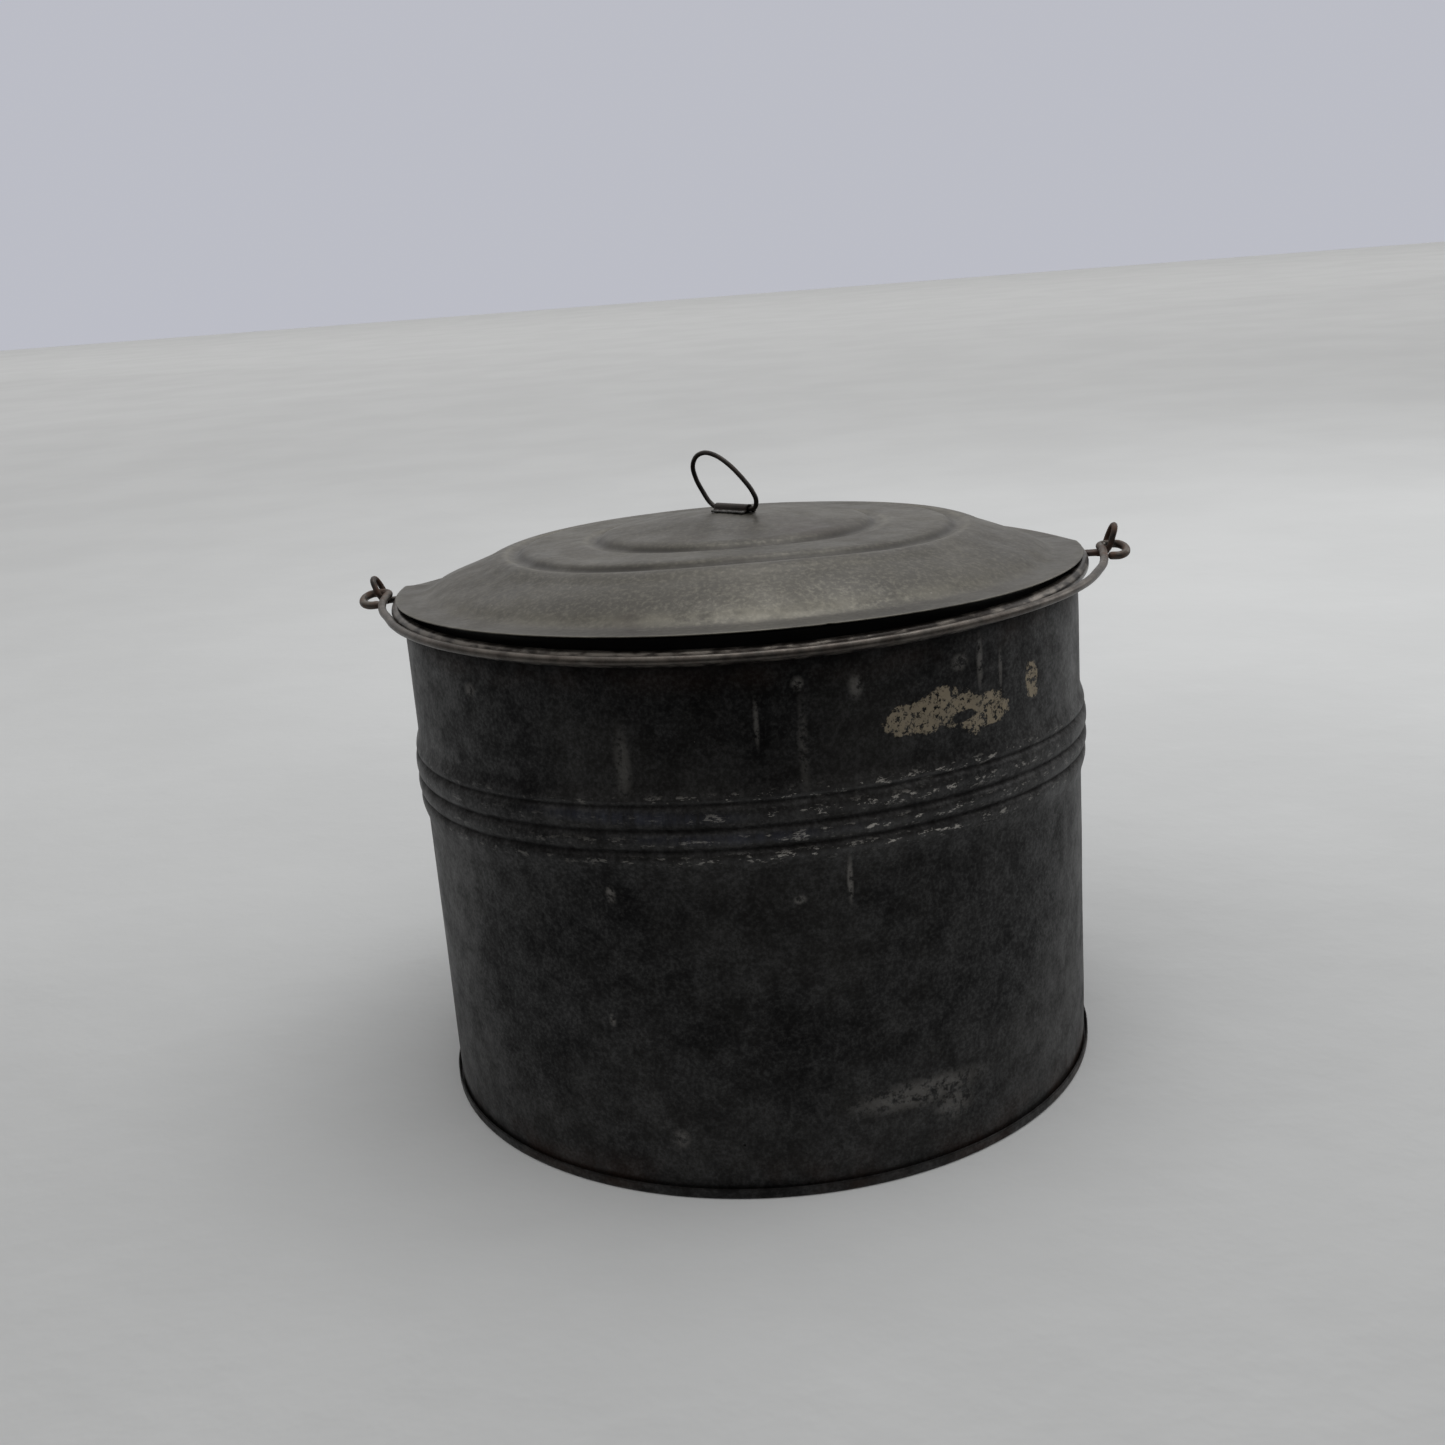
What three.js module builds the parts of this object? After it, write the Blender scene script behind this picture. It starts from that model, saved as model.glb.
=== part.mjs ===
// A lidded tin pail: a seamed sheet body with a wired rim and a recessed bottom, two wire ears that hold a
// swinging wire bail, and a pressed lid with an inner collar and a ring handle held by a tin strap.
// Millimetres, +Z up, origin on the floor under the middle of the pail, -Y at the front.
import * as THREE from "three";

// Driving dimensions
const BODY_RADIUS = 127; // outside of the plain wall
const SHEET = 0.6; // tinplate thickness
const FIT_GAP = 0.3; // between pieces that touch
const ROUND_STEPS = 40; // facets in a full turn

const ROLL_CENTRE_RADIUS = 128.4; // rolled rim
const ROLL_CENTRE_HEIGHT = 191.1;
const ROLL_RADIUS = 2.7;
const SINK = 6; // how far the bent mouth has sunk at the back
const SINK_START = 3; // behind the line through the ears
const SINK_LENGTH = 34;
const RIM_WIRE_RADIUS = 1.6;

const BOTTOM_RECESS = 3.6; // middle of the bottom sheet above the floor
const CHIME_RADIUS = 128.1; // middle of the folded bottom edge
const CHIME_HEIGHT = 3.7;

const SEAM_WIDTH = 6;
const SEAM_DEPTH = 0.9;

const BAIL_WIRE_RADIUS = 1.5;
const BAIL_REST_RADIUS = 132.9; // arc of the bail round the front of the rim
const BAIL_FLARE = 2.6; // how far the right end of its arc stands off the rim
const BAIL_REST_HEIGHT = 191.7;
const HINGE_HEIGHT = 193; // line through both ears that the bail turns about

// The hand-bent ears differ a little: distance from the pail's axis to the wire at the hinge line, outward lean
// in degrees, and height of the loop above the hinge line. Flare is how far the bail stands off further there.
const EARS = {
  right: { sign: 1, distance: 140.2, lean: 20, top: 7, flare: 3.3 },
  left: { sign: -1, distance: 138, lean: 23, top: 5.6, flare: -1.2 },
};
const EAR_WIRE_RADIUS = 1.1;
const EAR_HALF_WIDTH = 4;
const EAR_NECK_DROP = 3; // below the hinge line
const EAR_NECK_HALF_WIDTH = 1.27;

const LID_RADIUS = 129;
const LID_SHEET = 0.5;
const LID_HEIGHT = 194.6; // top of the flange where it rests on the rim
const LID_BEND = 0.03; // slope of the bent lid, front up
const LID_FLANGE_START = 118; // radius where the flange meets the shoulder
const LID_CROWN = 20.4; // middle of the lid above its flange
const LID_BULGE = 2.8; // height of the bulge at the front of the lid's face
const LID_BULGE_BEARING = THREE.MathUtils.degToRad(5); // from the front towards the right
const LID_BULGE_SPREAD = THREE.MathUtils.degToRad(38);

const COLLAR_RADIUS = 124;
const COLLAR_DEPTH = 17;

const RING_WIRE_RADIUS = 0.9;
const RING_TURN = -43; // degrees from +X to the ring's bar
const RING_LEAN = -15; // degrees, towards the front
const RING_BAR_HEIGHT = 1.4; // above the lid
const STRAP_LENGTH = 17;
const STRAP_SHEET = 0.5;

const radians = THREE.MathUtils.degToRad;
const vec = (x, y, z) => new THREE.Vector3(x, y, z);

const tin = (color, roughness) => new THREE.MeshStandardMaterial({ color, roughness, metalness: 0.75 });
const MATERIALS = {
  bodyTin: tin(0x35342f, 0.5),
  rimSteel: tin(0x5c5850, 0.45),
  lidTin: tin(0x6e6b63, 0.55),
  wire: tin(0x5a564f, 0.42),
  darkWire: tin(0x24231f, 0.5),
  solder: tin(0x4b4a46, 0.6),
};

// ---- Shape helpers ----

// Turns a geometry's faces round when its signed volume is negative, so that they all point outwards.
function facingOut(geometry) {
  const position = geometry.getAttribute("position");
  const index = geometry.index ? geometry.index.array : [...Array(position.count).keys()];
  const corner = (i) => new THREE.Vector3().fromBufferAttribute(position, index[i]);
  let volume = 0;
  for (let i = 0; i < index.length; i += 3) {
    volume += corner(i).dot(corner(i + 1).cross(corner(i + 2)));
  }
  if (volume < 0) {
    const turned = Array.from(index);
    for (let i = 0; i < turned.length; i += 3) {
      [turned[i + 1], turned[i + 2]] = [turned[i + 2], turned[i + 1]];
    }
    geometry.setIndex(turned);
    geometry.computeVertexNormals();
  }
  return geometry;
}

function piece(name, geometry, material) {
  const mesh = new THREE.Mesh(facingOut(geometry), material);
  mesh.name = name;
  return mesh;
}

function meshOf(positions, index) {
  const geometry = new THREE.BufferGeometry();
  geometry.setAttribute("position", new THREE.Float32BufferAttribute(positions, 3));
  geometry.setIndex(index);
  geometry.computeVertexNormals();
  return geometry;
}

// The outline of a bent sheet: its middle line of [radius, height] points, offset by half the thickness along
// the mitre of each corner, up one side and back down the other. Ends on the axis stay on the axis.
function sheetOutline(line, thickness) {
  const points = line.map(([r, z]) => new THREE.Vector2(r, z));
  const offsets = points.map((point, i) => {
    const before = points[Math.max(i - 1, 0)];
    const after = points[Math.min(i + 1, points.length - 1)];
    const into = (i > 0 ? point.clone().sub(before) : after.clone().sub(point)).normalize();
    const outOf = (i < points.length - 1 ? after.clone().sub(point) : into.clone()).normalize();
    const along = into.clone().add(outOf).normalize();
    const mitre = thickness / 2 / Math.max(along.dot(into), 0.5);
    const normal = new THREE.Vector2(-along.y, along.x).multiplyScalar(mitre);
    return point.x === 0 ? new THREE.Vector2(0, Math.sign(normal.y) * mitre) : normal;
  });
  const left = points.map((point, i) => point.clone().add(offsets[i]));
  const right = points.map((point, i) => point.clone().sub(offsets[i]));
  return [...left, ...right.reverse()];
}

// A closed section turned all the way round the Z axis. One that starts and ends on the axis makes a disc.
function turned(outline) {
  const closed = outline[0].x === 0 ? outline : [...outline, outline[0]];
  return new THREE.LatheGeometry(closed, ROUND_STEPS).rotateX(Math.PI / 2);
}

// A closed section turned round the Z axis from one angle to another, in degrees, with flat ends.
function turnedPart(section, from, to) {
  const outline = THREE.ShapeUtils.isClockWise(section) ? [...section].reverse() : section;
  const steps = Math.round((ROUND_STEPS * (to - from)) / 360);
  const size = outline.length;
  const positions = [];
  for (let step = 0; step <= steps; step += 1) {
    const angle = radians(from + ((to - from) * step) / steps);
    for (const { x, y } of outline) positions.push(x * Math.cos(angle), x * Math.sin(angle), y);
  }
  const index = [];
  for (let step = 0; step < steps; step += 1) {
    for (let i = 0; i < size; i += 1) {
      const a = step * size + i;
      const b = step * size + ((i + 1) % size);
      index.push(a, a + size, b, b, a + size, b + size);
    }
  }
  const last = steps * size;
  for (const [a, b, c] of THREE.ShapeUtils.triangulateShape(outline, [])) {
    index.push(a, b, c, last + c, last + b, last + a);
  }
  return meshOf(positions, index);
}

// A round wire along a list of points. Each ring of corners is square to the path and is turned from the
// ring before it by the least angle, starting from the given side. An open wire has flat ends.
function wire(points, radius, side, closed = false, sides = 8) {
  const count = points.length;
  const positions = [];
  const normal = side.clone();
  for (let i = 0; i < count; i += 1) {
    const before = points[closed ? (i + count - 1) % count : Math.max(i - 1, 0)];
    const after = points[closed ? (i + 1) % count : Math.min(i + 1, count - 1)];
    const tangent = after.clone().sub(before).normalize();
    normal.addScaledVector(tangent, -normal.dot(tangent)).normalize();
    const across = new THREE.Vector3().crossVectors(tangent, normal);
    for (let k = 0; k < sides; k += 1) {
      const angle = (2 * Math.PI * (k + 0.5)) / sides;
      const corner = points[i].clone();
      corner.addScaledVector(normal, radius * Math.cos(angle));
      corner.addScaledVector(across, radius * Math.sin(angle));
      positions.push(...corner);
    }
  }
  const index = [];
  const spans = closed ? count : count - 1;
  for (let i = 0; i < spans; i += 1) {
    for (let k = 0; k < sides; k += 1) {
      const a = i * sides + k;
      const b = i * sides + ((k + 1) % sides);
      const c = ((i + 1) % count) * sides + k;
      const d = ((i + 1) % count) * sides + ((k + 1) % sides);
      index.push(a, b, c, b, d, c);
    }
  }
  if (!closed) {
    const last = (count - 1) * sides;
    for (let k = 1; k < sides - 1; k += 1) {
      index.push(0, k + 1, k);
      index.push(last, last + k, last + k + 1);
    }
  }
  return meshOf(positions, index);
}

// Points of a smooth curve through the given ones.
const smooth = (points, count) => new THREE.CatmullRomCurve3(points, false, "centripetal").getPoints(count);

const toSide = (point, sign) => vec(sign * point.x, point.y, point.z);

// ---- Pail body ----

// The wall's middle line from the bottom up: a swaged band above half height with three narrow grooves in it,
// then the curl that goes up inside the rim wire, over it and down outside it.
function wallLine() {
  const radius = BODY_RADIUS - SHEET / 2;
  const foot = BOTTOM_RECESS / 4;
  const band = [[0, 115], [0.8, 118.2], [1.7, 121.8], [0.8, 124.8], [2.1, 128.4], [0.9, 131.9], [2.1, 136.2],
    [1.7, 138.6], [0.8, 140.4], [1.4, 142.6], [0, 147]];
  const curlRadius = ROLL_RADIUS - SHEET / 2;
  const curl = [];
  for (let angle = 210; angle >= -90; angle -= 30) {
    curl.push([
      ROLL_CENTRE_RADIUS + curlRadius * Math.cos(radians(angle)),
      ROLL_CENTRE_HEIGHT + curlRadius * Math.sin(radians(angle)),
    ]);
  }
  const wallTop = ROLL_CENTRE_HEIGHT - ROLL_RADIUS;
  return [[radius, foot], ...band.map(([out, z]) => [radius + out, z]), [radius, wallTop], ...curl];
}

// The pail's mouth is bent: behind the ears its rim has sunk.
function sinkAt(y) {
  return SINK * (1 - Math.exp(-Math.max(y - SINK_START, 0) / SINK_LENGTH));
}

function sinkMouth(geometry) {
  const position = geometry.getAttribute("position");
  for (let i = 0; i < position.count; i += 1) {
    const z = position.getZ(i);
    const share = THREE.MathUtils.smoothstep(z, 150, ROLL_CENTRE_HEIGHT - ROLL_RADIUS);
    position.setZ(i, z - sinkAt(position.getY(i)) * share);
  }
  geometry.computeVertexNormals();
  return geometry;
}

function bodySheets() {
  const outline = sheetOutline(wallLine(), SHEET);
  const halfGap = THREE.MathUtils.radToDeg(FIT_GAP / 2 / BODY_RADIUS);
  return [
    piece("body_front_sheet", sinkMouth(turnedPart(outline, -180 + halfGap, -halfGap)), MATERIALS.bodyTin),
    piece("body_back_sheet", sinkMouth(turnedPart(outline, halfGap, 180 - halfGap)), MATERIALS.bodyTin),
  ];
}

// The folded lock of each side seam, flattened inside the wall between the bottom and the beads, and the
// shorter lock above the beads.
function sideSeams() {
  const spans = { lower: [8, 112], upper: [150, 186] };
  const seams = [];
  for (const [side, sign] of [["right", 1], ["left", -1]]) {
    for (const [level, [low, high]] of Object.entries(spans)) {
      const lock = new THREE.BoxGeometry(SEAM_DEPTH, SEAM_WIDTH, high - low);
      const inside = BODY_RADIUS - SHEET - 2 * FIT_GAP - SEAM_DEPTH / 2;
      lock.translate(sign * inside, 0, (low + high) / 2);
      seams.push(piece(`seam_lock_${side}_${level}`, lock, MATERIALS.solder));
    }
  }
  return seams;
}

function rimWire() {
  const ring = new THREE.TorusGeometry(ROLL_CENTRE_RADIUS, RIM_WIRE_RADIUS, 6, ROUND_STEPS);
  ring.translate(0, 0, ROLL_CENTRE_HEIGHT);
  return piece("rim_wire", sinkMouth(ring), MATERIALS.rimSteel);
}

// The bottom sheet is flat, drops to the floor near the wall, and folds up round the wall's lower edge.
function bottom() {
  const line = [[0, BOTTOM_RECESS], [122, BOTTOM_RECESS], [124.4, 3.3], [125.2, 2.2], [125.4, 0.8], [125.8, SHEET / 2],
    [CHIME_RADIUS - 0.4, SHEET / 2], [CHIME_RADIUS, 0.8], [CHIME_RADIUS, CHIME_HEIGHT]];
  const inside = BODY_RADIUS - SHEET - 2 * FIT_GAP;
  const solderFoot = BOTTOM_RECESS + SHEET / 2 + FIT_GAP;
  const fillet = [[inside, solderFoot], [inside, solderFoot + 2], [inside - 3, solderFoot]];
  return [
    piece("bottom_disc", turned(sheetOutline(line, SHEET)), MATERIALS.bodyTin),
    piece("bottom_solder", turned(fillet.map(([r, z]) => new THREE.Vector2(r, z))), MATERIALS.solder),
  ];
}

// ---- Ears and bail ----

// One ear's wire: out from the rim, apart round the bail, and up to a leaning loop above the hinge line.
function earPoints({ distance, lean, top }) {
  const slope = Math.tan(radians(lean));
  const at = (y, rise) => vec(distance + slope * rise, y, HINGE_HEIGHT + rise);
  const neck = HINGE_HEIGHT - EAR_NECK_DROP;
  const start = ROLL_CENTRE_RADIUS + ROLL_RADIUS + FIT_GAP + 0.2;
  const half = [
    vec(start, EAR_NECK_HALF_WIDTH, neck),
    vec(start + 3.6, EAR_NECK_HALF_WIDTH, neck),
    vec(distance - 2, EAR_NECK_HALF_WIDTH + 1, neck),
    at(EAR_HALF_WIDTH, -0.4),
    at(EAR_HALF_WIDTH * 0.93, top * 0.5),
    at(EAR_HALF_WIDTH * 0.6, top * 0.88),
  ];
  const mirrored = half.map((point) => vec(point.x, -point.y, point.z)).reverse();
  return smooth([...half, at(0, top), ...mirrored], 30);
}

// The flat lump of solder that fixes an ear's neck to the outside of the rim's rolled edge, from below.
function earSolder(sign) {
  const lump = new THREE.SphereGeometry(1, 10, 8);
  lump.scale(1.9, 4.5, 0.7);
  lump.translate(sign * (ROLL_CENTRE_RADIUS + 2.5), 0, ROLL_CENTRE_HEIGHT - ROLL_RADIUS - 0.5);
  return lump;
}

function ears() {
  const pieces = [];
  for (const [name, ear] of Object.entries(EARS)) {
    const points = earPoints(ear).map((point) => toSide(point, ear.sign));
    pieces.push(piece(`ear_${name}`, wire(points, EAR_WIRE_RADIUS, vec(0, 0, 1)), MATERIALS.darkWire));
    pieces.push(piece(`ear_solder_${name}`, earSolder(ear.sign), MATERIALS.solder));
  }
  return pieces;
}

// One end of the bail, from where it leaves the rim: it flares out and rises to the hinge line, goes out
// through the ear, and curls forwards and down into an open eye.
function bailEnd({ sign, distance, flare }, start) {
  const eyeDrop = Math.tan(radians(13));
  const beside = (out, forwards) => vec(distance + out, -forwards, HINGE_HEIGHT - forwards * eyeDrop);
  const path = [
    toSide(start, sign),
    vec(131.3 + flare * 0.5, -30, 191.8),
    vec(distance - 4.1 - flare * 0.1, -16, 192.2),
    vec(distance - 3.4, -7.5, 192.7),
    vec(distance - 3.3, -2.4, HINGE_HEIGHT),
    vec(distance - 1.7, -0.4, HINGE_HEIGHT),
    vec(distance + 1, 0, HINGE_HEIGHT),
    beside(3.7, 0.6),
    beside(5.4, 2.8),
    beside(5.8, 6),
    beside(4.8, 9),
    beside(2.4, 10.7),
    beside(-0.4, 10.6),
  ];
  return smooth(path, 42)
    .slice(1)
    .map((point) => toSide(point, sign));
}

// The bail lies folded forwards. Its arc follows the front of the rim and stands off it towards the right ear.
function bail() {
  const arcStep = 360 / ROUND_STEPS;
  const arcEnd = 8 * arcStep;
  const arc = [];
  for (let angle = -arcEnd; angle <= arcEnd; angle += arcStep) {
    const turn = radians(angle - 90);
    const radius = BAIL_REST_RADIUS + BAIL_FLARE * THREE.MathUtils.smoothstep(angle, 30, 72);
    arc.push(vec(radius * Math.cos(turn), radius * Math.sin(turn), BAIL_REST_HEIGHT));
  }
  const leftEnd = bailEnd(EARS.left, arc[0]).reverse();
  const rightEnd = bailEnd(EARS.right, arc[arc.length - 1]);
  return piece("bail", wire([...leftEnd, ...arc, ...rightEnd], BAIL_WIRE_RADIUS, vec(0, 0, 1)), MATERIALS.wire);
}

// ---- Lid ----

// The pressed lid's upper face: flat flange, rounded shoulder, two soft steps with a shallow valley at the
// foot of each, and a low crown in the middle. Heights are above the flange.
const LID_FACE = [[LID_RADIUS, 0], [118.5, 0.2], [116, 1.3], [113, 3], [108, 5.2], [102, 7.2], [96, 9],
  [91.5, 10.9], [88, 11.7], [84.5, 10.9], [82.5, 11.2], [80, 12.5], [77.5, 13], [60, 13.8], [57, 13.7],
  [54.5, 13.3], [52.5, 13.7], [50, 15.2], [47.5, 16.2], [40, 17.1], [28, 18.6], [14, 19.9], [0, LID_CROWN]];

// The old lid is bent: it slopes up towards the front, but behind the middle its flange stays level on the rim.
// Its face also bulges a little at the front, between the crown and the shoulder, and its edge follows the
// sunken back of the rim.
function bendLid(geometry) {
  const { smoothstep } = THREE.MathUtils;
  const position = geometry.getAttribute("position");
  for (let i = 0; i < position.count; i += 1) {
    const x = position.getX(i);
    const y = position.getY(i);
    const radius = Math.hypot(x, y);
    const flange = smoothstep(radius, LID_FLANGE_START - 14, LID_FLANGE_START);
    const level = y > 0 ? flange : 0;
    const aside = (Math.atan2(x, -y) - LID_BULGE_BEARING) / LID_BULGE_SPREAD;
    const ring = smoothstep(radius, 40, 80) * (1 - smoothstep(radius, 96, 124));
    const bulge = LID_BULGE * Math.exp(-aside * aside) * ring;
    const sunk = sinkAt(y) * smoothstep(radius, 84, 112);
    position.setZ(i, position.getZ(i) - LID_BEND * y * (1 - level) + bulge - sunk);
  }
  geometry.computeVertexNormals();
  return geometry;
}

function lidCover() {
  const line = LID_FACE.map(([r, z]) => [r, z - LID_SHEET / 2]).reverse();
  return piece("lid_cover", bendLid(turned(sheetOutline(line, LID_SHEET))), MATERIALS.lidTin);
}

// The collar hangs from a narrow flange soldered under the lid and drops into the pail's mouth.
function lidCollar() {
  const under = -LID_SHEET - FIT_GAP;
  const middle = COLLAR_RADIUS - LID_SHEET / 2;
  const line = [[119.5, under - LID_SHEET / 2], [middle - 0.6, under - LID_SHEET / 2], [middle, under - 0.8],
    [middle, -COLLAR_DEPTH]];
  const corner = middle - LID_SHEET / 2 - FIT_GAP;
  const top = under - LID_SHEET - FIT_GAP;
  const fillet = [[corner - 1.8, top], [corner - 0.5, top], [corner, top - 0.5], [corner, top - 1.8]];
  return [
    piece("lid_collar", bendLid(turned(sheetOutline(line, LID_SHEET))), MATERIALS.lidTin),
    piece("collar_solder", bendLid(turned(fillet.map(([r, z]) => new THREE.Vector2(r, z)))), MATERIALS.solder),
  ];
}

// The ring handle: a straight bar under the strap and a hand-bent loop that leans to one side.
// Its own frame has x along the bar and z up.
function ringHandle() {
  const loop = [[9.2, 0], [11.8, 0.9], [13.2, 3.8], [12.2, 7.4], [9.2, 12.1], [3.2, 18.2], [-2.6, 21.3], [-7.6, 22.1],
    [-12.8, 20.3], [-15.8, 16.4], [-15.9, 11.6], [-14.2, 6.2], [-11.6, 1.6], [-9.2, 0]];
  const bent = smooth(loop.map(([x, z]) => vec(x, 0, z)), 38);
  const bar = [vec(-4, 0, 0), vec(4, 0, 0)];
  const handle = piece("ring_handle", wire([...bent, ...bar], RING_WIRE_RADIUS, vec(0, 1, 0), true), MATERIALS.darkWire);
  handle.rotation.x = radians(-RING_LEAN);
  return handle;
}

// The tin strap over the ring's bar: an arch with a flat foot on each side.
function ringStrap() {
  const inner = RING_WIRE_RADIUS + FIT_GAP;
  const outer = inner + STRAP_SHEET;
  const footTop = FIT_GAP + STRAP_SHEET - RING_BAR_HEIGHT;
  const footBottom = FIT_GAP - RING_BAR_HEIGHT;
  const reach = 3.2;
  const outline = [[-reach, footBottom], [-inner, footBottom]];
  for (let angle = 180; angle >= 0; angle -= 30) {
    outline.push([inner * Math.cos(radians(angle)), inner * Math.sin(radians(angle))]);
  }
  outline.push([inner, footBottom], [reach, footBottom], [reach, footTop], [outer, footTop]);
  for (let angle = 0; angle <= 180; angle += 30) {
    outline.push([outer * Math.cos(radians(angle)), outer * Math.sin(radians(angle))]);
  }
  outline.push([-outer, footTop], [-reach, footTop]);
  const section = new THREE.Shape(outline.map(([x, y]) => new THREE.Vector2(x, y)));
  const arch = new THREE.ExtrudeGeometry(section, { depth: STRAP_LENGTH, bevelEnabled: false });
  arch.translate(0, 0, -STRAP_LENGTH / 2);
  arch.rotateX(Math.PI / 2);
  arch.rotateZ(Math.PI / 2);
  return piece("ring_strap", arch, MATERIALS.darkWire);
}

// A bead of solder along the outer edge of each foot of the strap.
function strapSolder() {
  const beads = [];
  for (const [side, sign] of [["front", -1], ["back", 1]]) {
    const bead = new THREE.CylinderGeometry(0.6, 0.6, STRAP_LENGTH - 1, 8);
    bead.rotateZ(Math.PI / 2);
    bead.scale(1, 1.6, 0.8);
    bead.translate(0, sign * 4.5, 0.5 - RING_BAR_HEIGHT);
    beads.push(piece(`strap_solder_${side}`, bead, MATERIALS.solder));
  }
  return beads;
}

function lid() {
  const group = new THREE.Group();
  group.add(lidCover(), ...lidCollar());
  const pull = new THREE.Group();
  pull.add(ringHandle(), ringStrap(), ...strapSolder());
  pull.position.z = LID_CROWN + RING_BAR_HEIGHT;
  pull.rotation.set(-LID_BEND, 0, radians(RING_TURN));
  group.add(pull);
  group.position.z = LID_HEIGHT;
  return group;
}

const pail = new THREE.Group();
pail.add(...bodySheets(), ...sideSeams(), rimWire(), ...bottom(), ...ears(), bail(), lid());

export default pail;
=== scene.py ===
"""Looks of a lidded tin pail: a seamed, ribbed body with a wired rim, a wire bail on two ears, and a pressed
lid with a ring pull. Metres, +Z up. A bearing is an angle round the pail from its front (-Y), positive to the
right.
"""

import bpy
import numpy as np
from mathutils import Matrix, Vector


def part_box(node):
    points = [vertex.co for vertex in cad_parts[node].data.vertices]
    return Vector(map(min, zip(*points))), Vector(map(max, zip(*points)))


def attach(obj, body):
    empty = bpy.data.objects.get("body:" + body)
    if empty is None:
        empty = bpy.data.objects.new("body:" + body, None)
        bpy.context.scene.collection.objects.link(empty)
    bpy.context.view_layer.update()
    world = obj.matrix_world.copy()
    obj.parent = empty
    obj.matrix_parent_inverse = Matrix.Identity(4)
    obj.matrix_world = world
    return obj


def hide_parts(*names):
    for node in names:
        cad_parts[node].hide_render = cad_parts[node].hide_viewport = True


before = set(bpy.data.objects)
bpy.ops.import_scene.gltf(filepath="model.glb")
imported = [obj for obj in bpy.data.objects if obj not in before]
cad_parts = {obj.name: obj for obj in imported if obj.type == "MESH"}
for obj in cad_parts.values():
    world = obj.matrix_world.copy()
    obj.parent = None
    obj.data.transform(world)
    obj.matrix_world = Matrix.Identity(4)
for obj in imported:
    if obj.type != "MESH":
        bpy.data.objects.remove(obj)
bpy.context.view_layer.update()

bl_info = {
    "name": "Lidded Tin Pail",
    "version": (1, 0, 0),
    "blender": (4, 5, 0),
    "location": "View3D > Sidebar > Tin Pail",
    "description": "Builds the surfaces and finishes of an old lidded tin pail round its packed frame",
    "category": "Add Mesh",
}

MM = 0.001
ROUND = 127 * MM  # radius at which marks, dents and seams are laid out round the wall
RIM_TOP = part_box("body_front_sheet")[1].z
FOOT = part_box("bottom_disc")[0].z


# ---- Sizes and colours a user would change ----

def length(name, description, value):
    return bpy.props.FloatProperty(name=name, description=description, default=value, unit="LENGTH",
                                   precision=5)


def angle(name, description, degrees):
    return bpy.props.FloatProperty(name=name, description=description, default=np.radians(degrees),
                                   unit="ROTATION")


def colour(name, description, value):
    return bpy.props.FloatVectorProperty(name=name, description=description, default=value, size=3,
                                         subtype="COLOR", min=0, max=1)


class PailBodySizes(bpy.types.PropertyGroup):
    """Sizes of the pail's body."""
    wall_radius: length("Wall radius", "Middle of the wall's sheet", 0.1267)
    sheet: length("Sheet", "Thickness of the tinplate", 0.0006)
    roll_radius: length("Rim roll radius", "Middle of the sheet that is rolled round the rim wire", 0.0024)
    roll_centre: length("Rim roll centre", "Radius of the circle that the rim wire follows", 0.1284)
    roll_height: length("Rim roll height", "Height of the rim wire", RIM_TOP - 0.0027)
    rim_wire: length("Rim wire radius", "Radius of the wire in the rim", 0.0016)
    dents: length("Dents", "How far the wall wanders from a true cylinder", 0.0002)


class PailWireSizes(bpy.types.PropertyGroup):
    """Sizes of the bail and its ears."""
    hinge_height: length("Hinge height", "Height of the line that the bail turns about", 0.193)
    bail_wire: length("Bail wire radius", "Radius of the bail's wire", 0.0015)
    bail_radius: length("Bail radius", "Radius of the bail where it lies round the front of the rim", 0.1329)
    ear_wire: length("Ear wire radius", "Radius of the ears' wire", 0.0011)


class PailLidSizes(bpy.types.PropertyGroup):
    """Sizes of the lid."""
    height: length("Lid height", "Height of the flange's upper face on the rim", 0.1946)
    sheet: length("Lid sheet", "Thickness of the lid's tinplate", 0.0005)
    skirt_radius: length("Skirt radius", "Middle of the skirt's sheet", 0.12375)
    skirt_depth: length("Skirt depth", "How far the skirt reaches below the flange", 0.017)
    bulge: length("Bulge", "Height of the bulge at the front of the lid's face", 0.0028)
    bend: bpy.props.FloatProperty(name="Bend", description="Slope of the bent lid up towards the front",
                                  default=0.03)


class PailPullSizes(bpy.types.PropertyGroup):
    """Sizes of the ring pull on the lid."""
    wire: length("Ring wire radius", "Radius of the ring's wire", 0.0009)
    bar_height: length("Bar height", "Height of the ring's straight bar above the crown", 0.0014)
    strap_length: length("Strap length", "Length of the tin strap along the bar", 0.017)
    turn: angle("Turn", "Turn of the bar about the vertical", -43)
    lean: angle("Lean", "Lean of the ring back from upright", 15)


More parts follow.
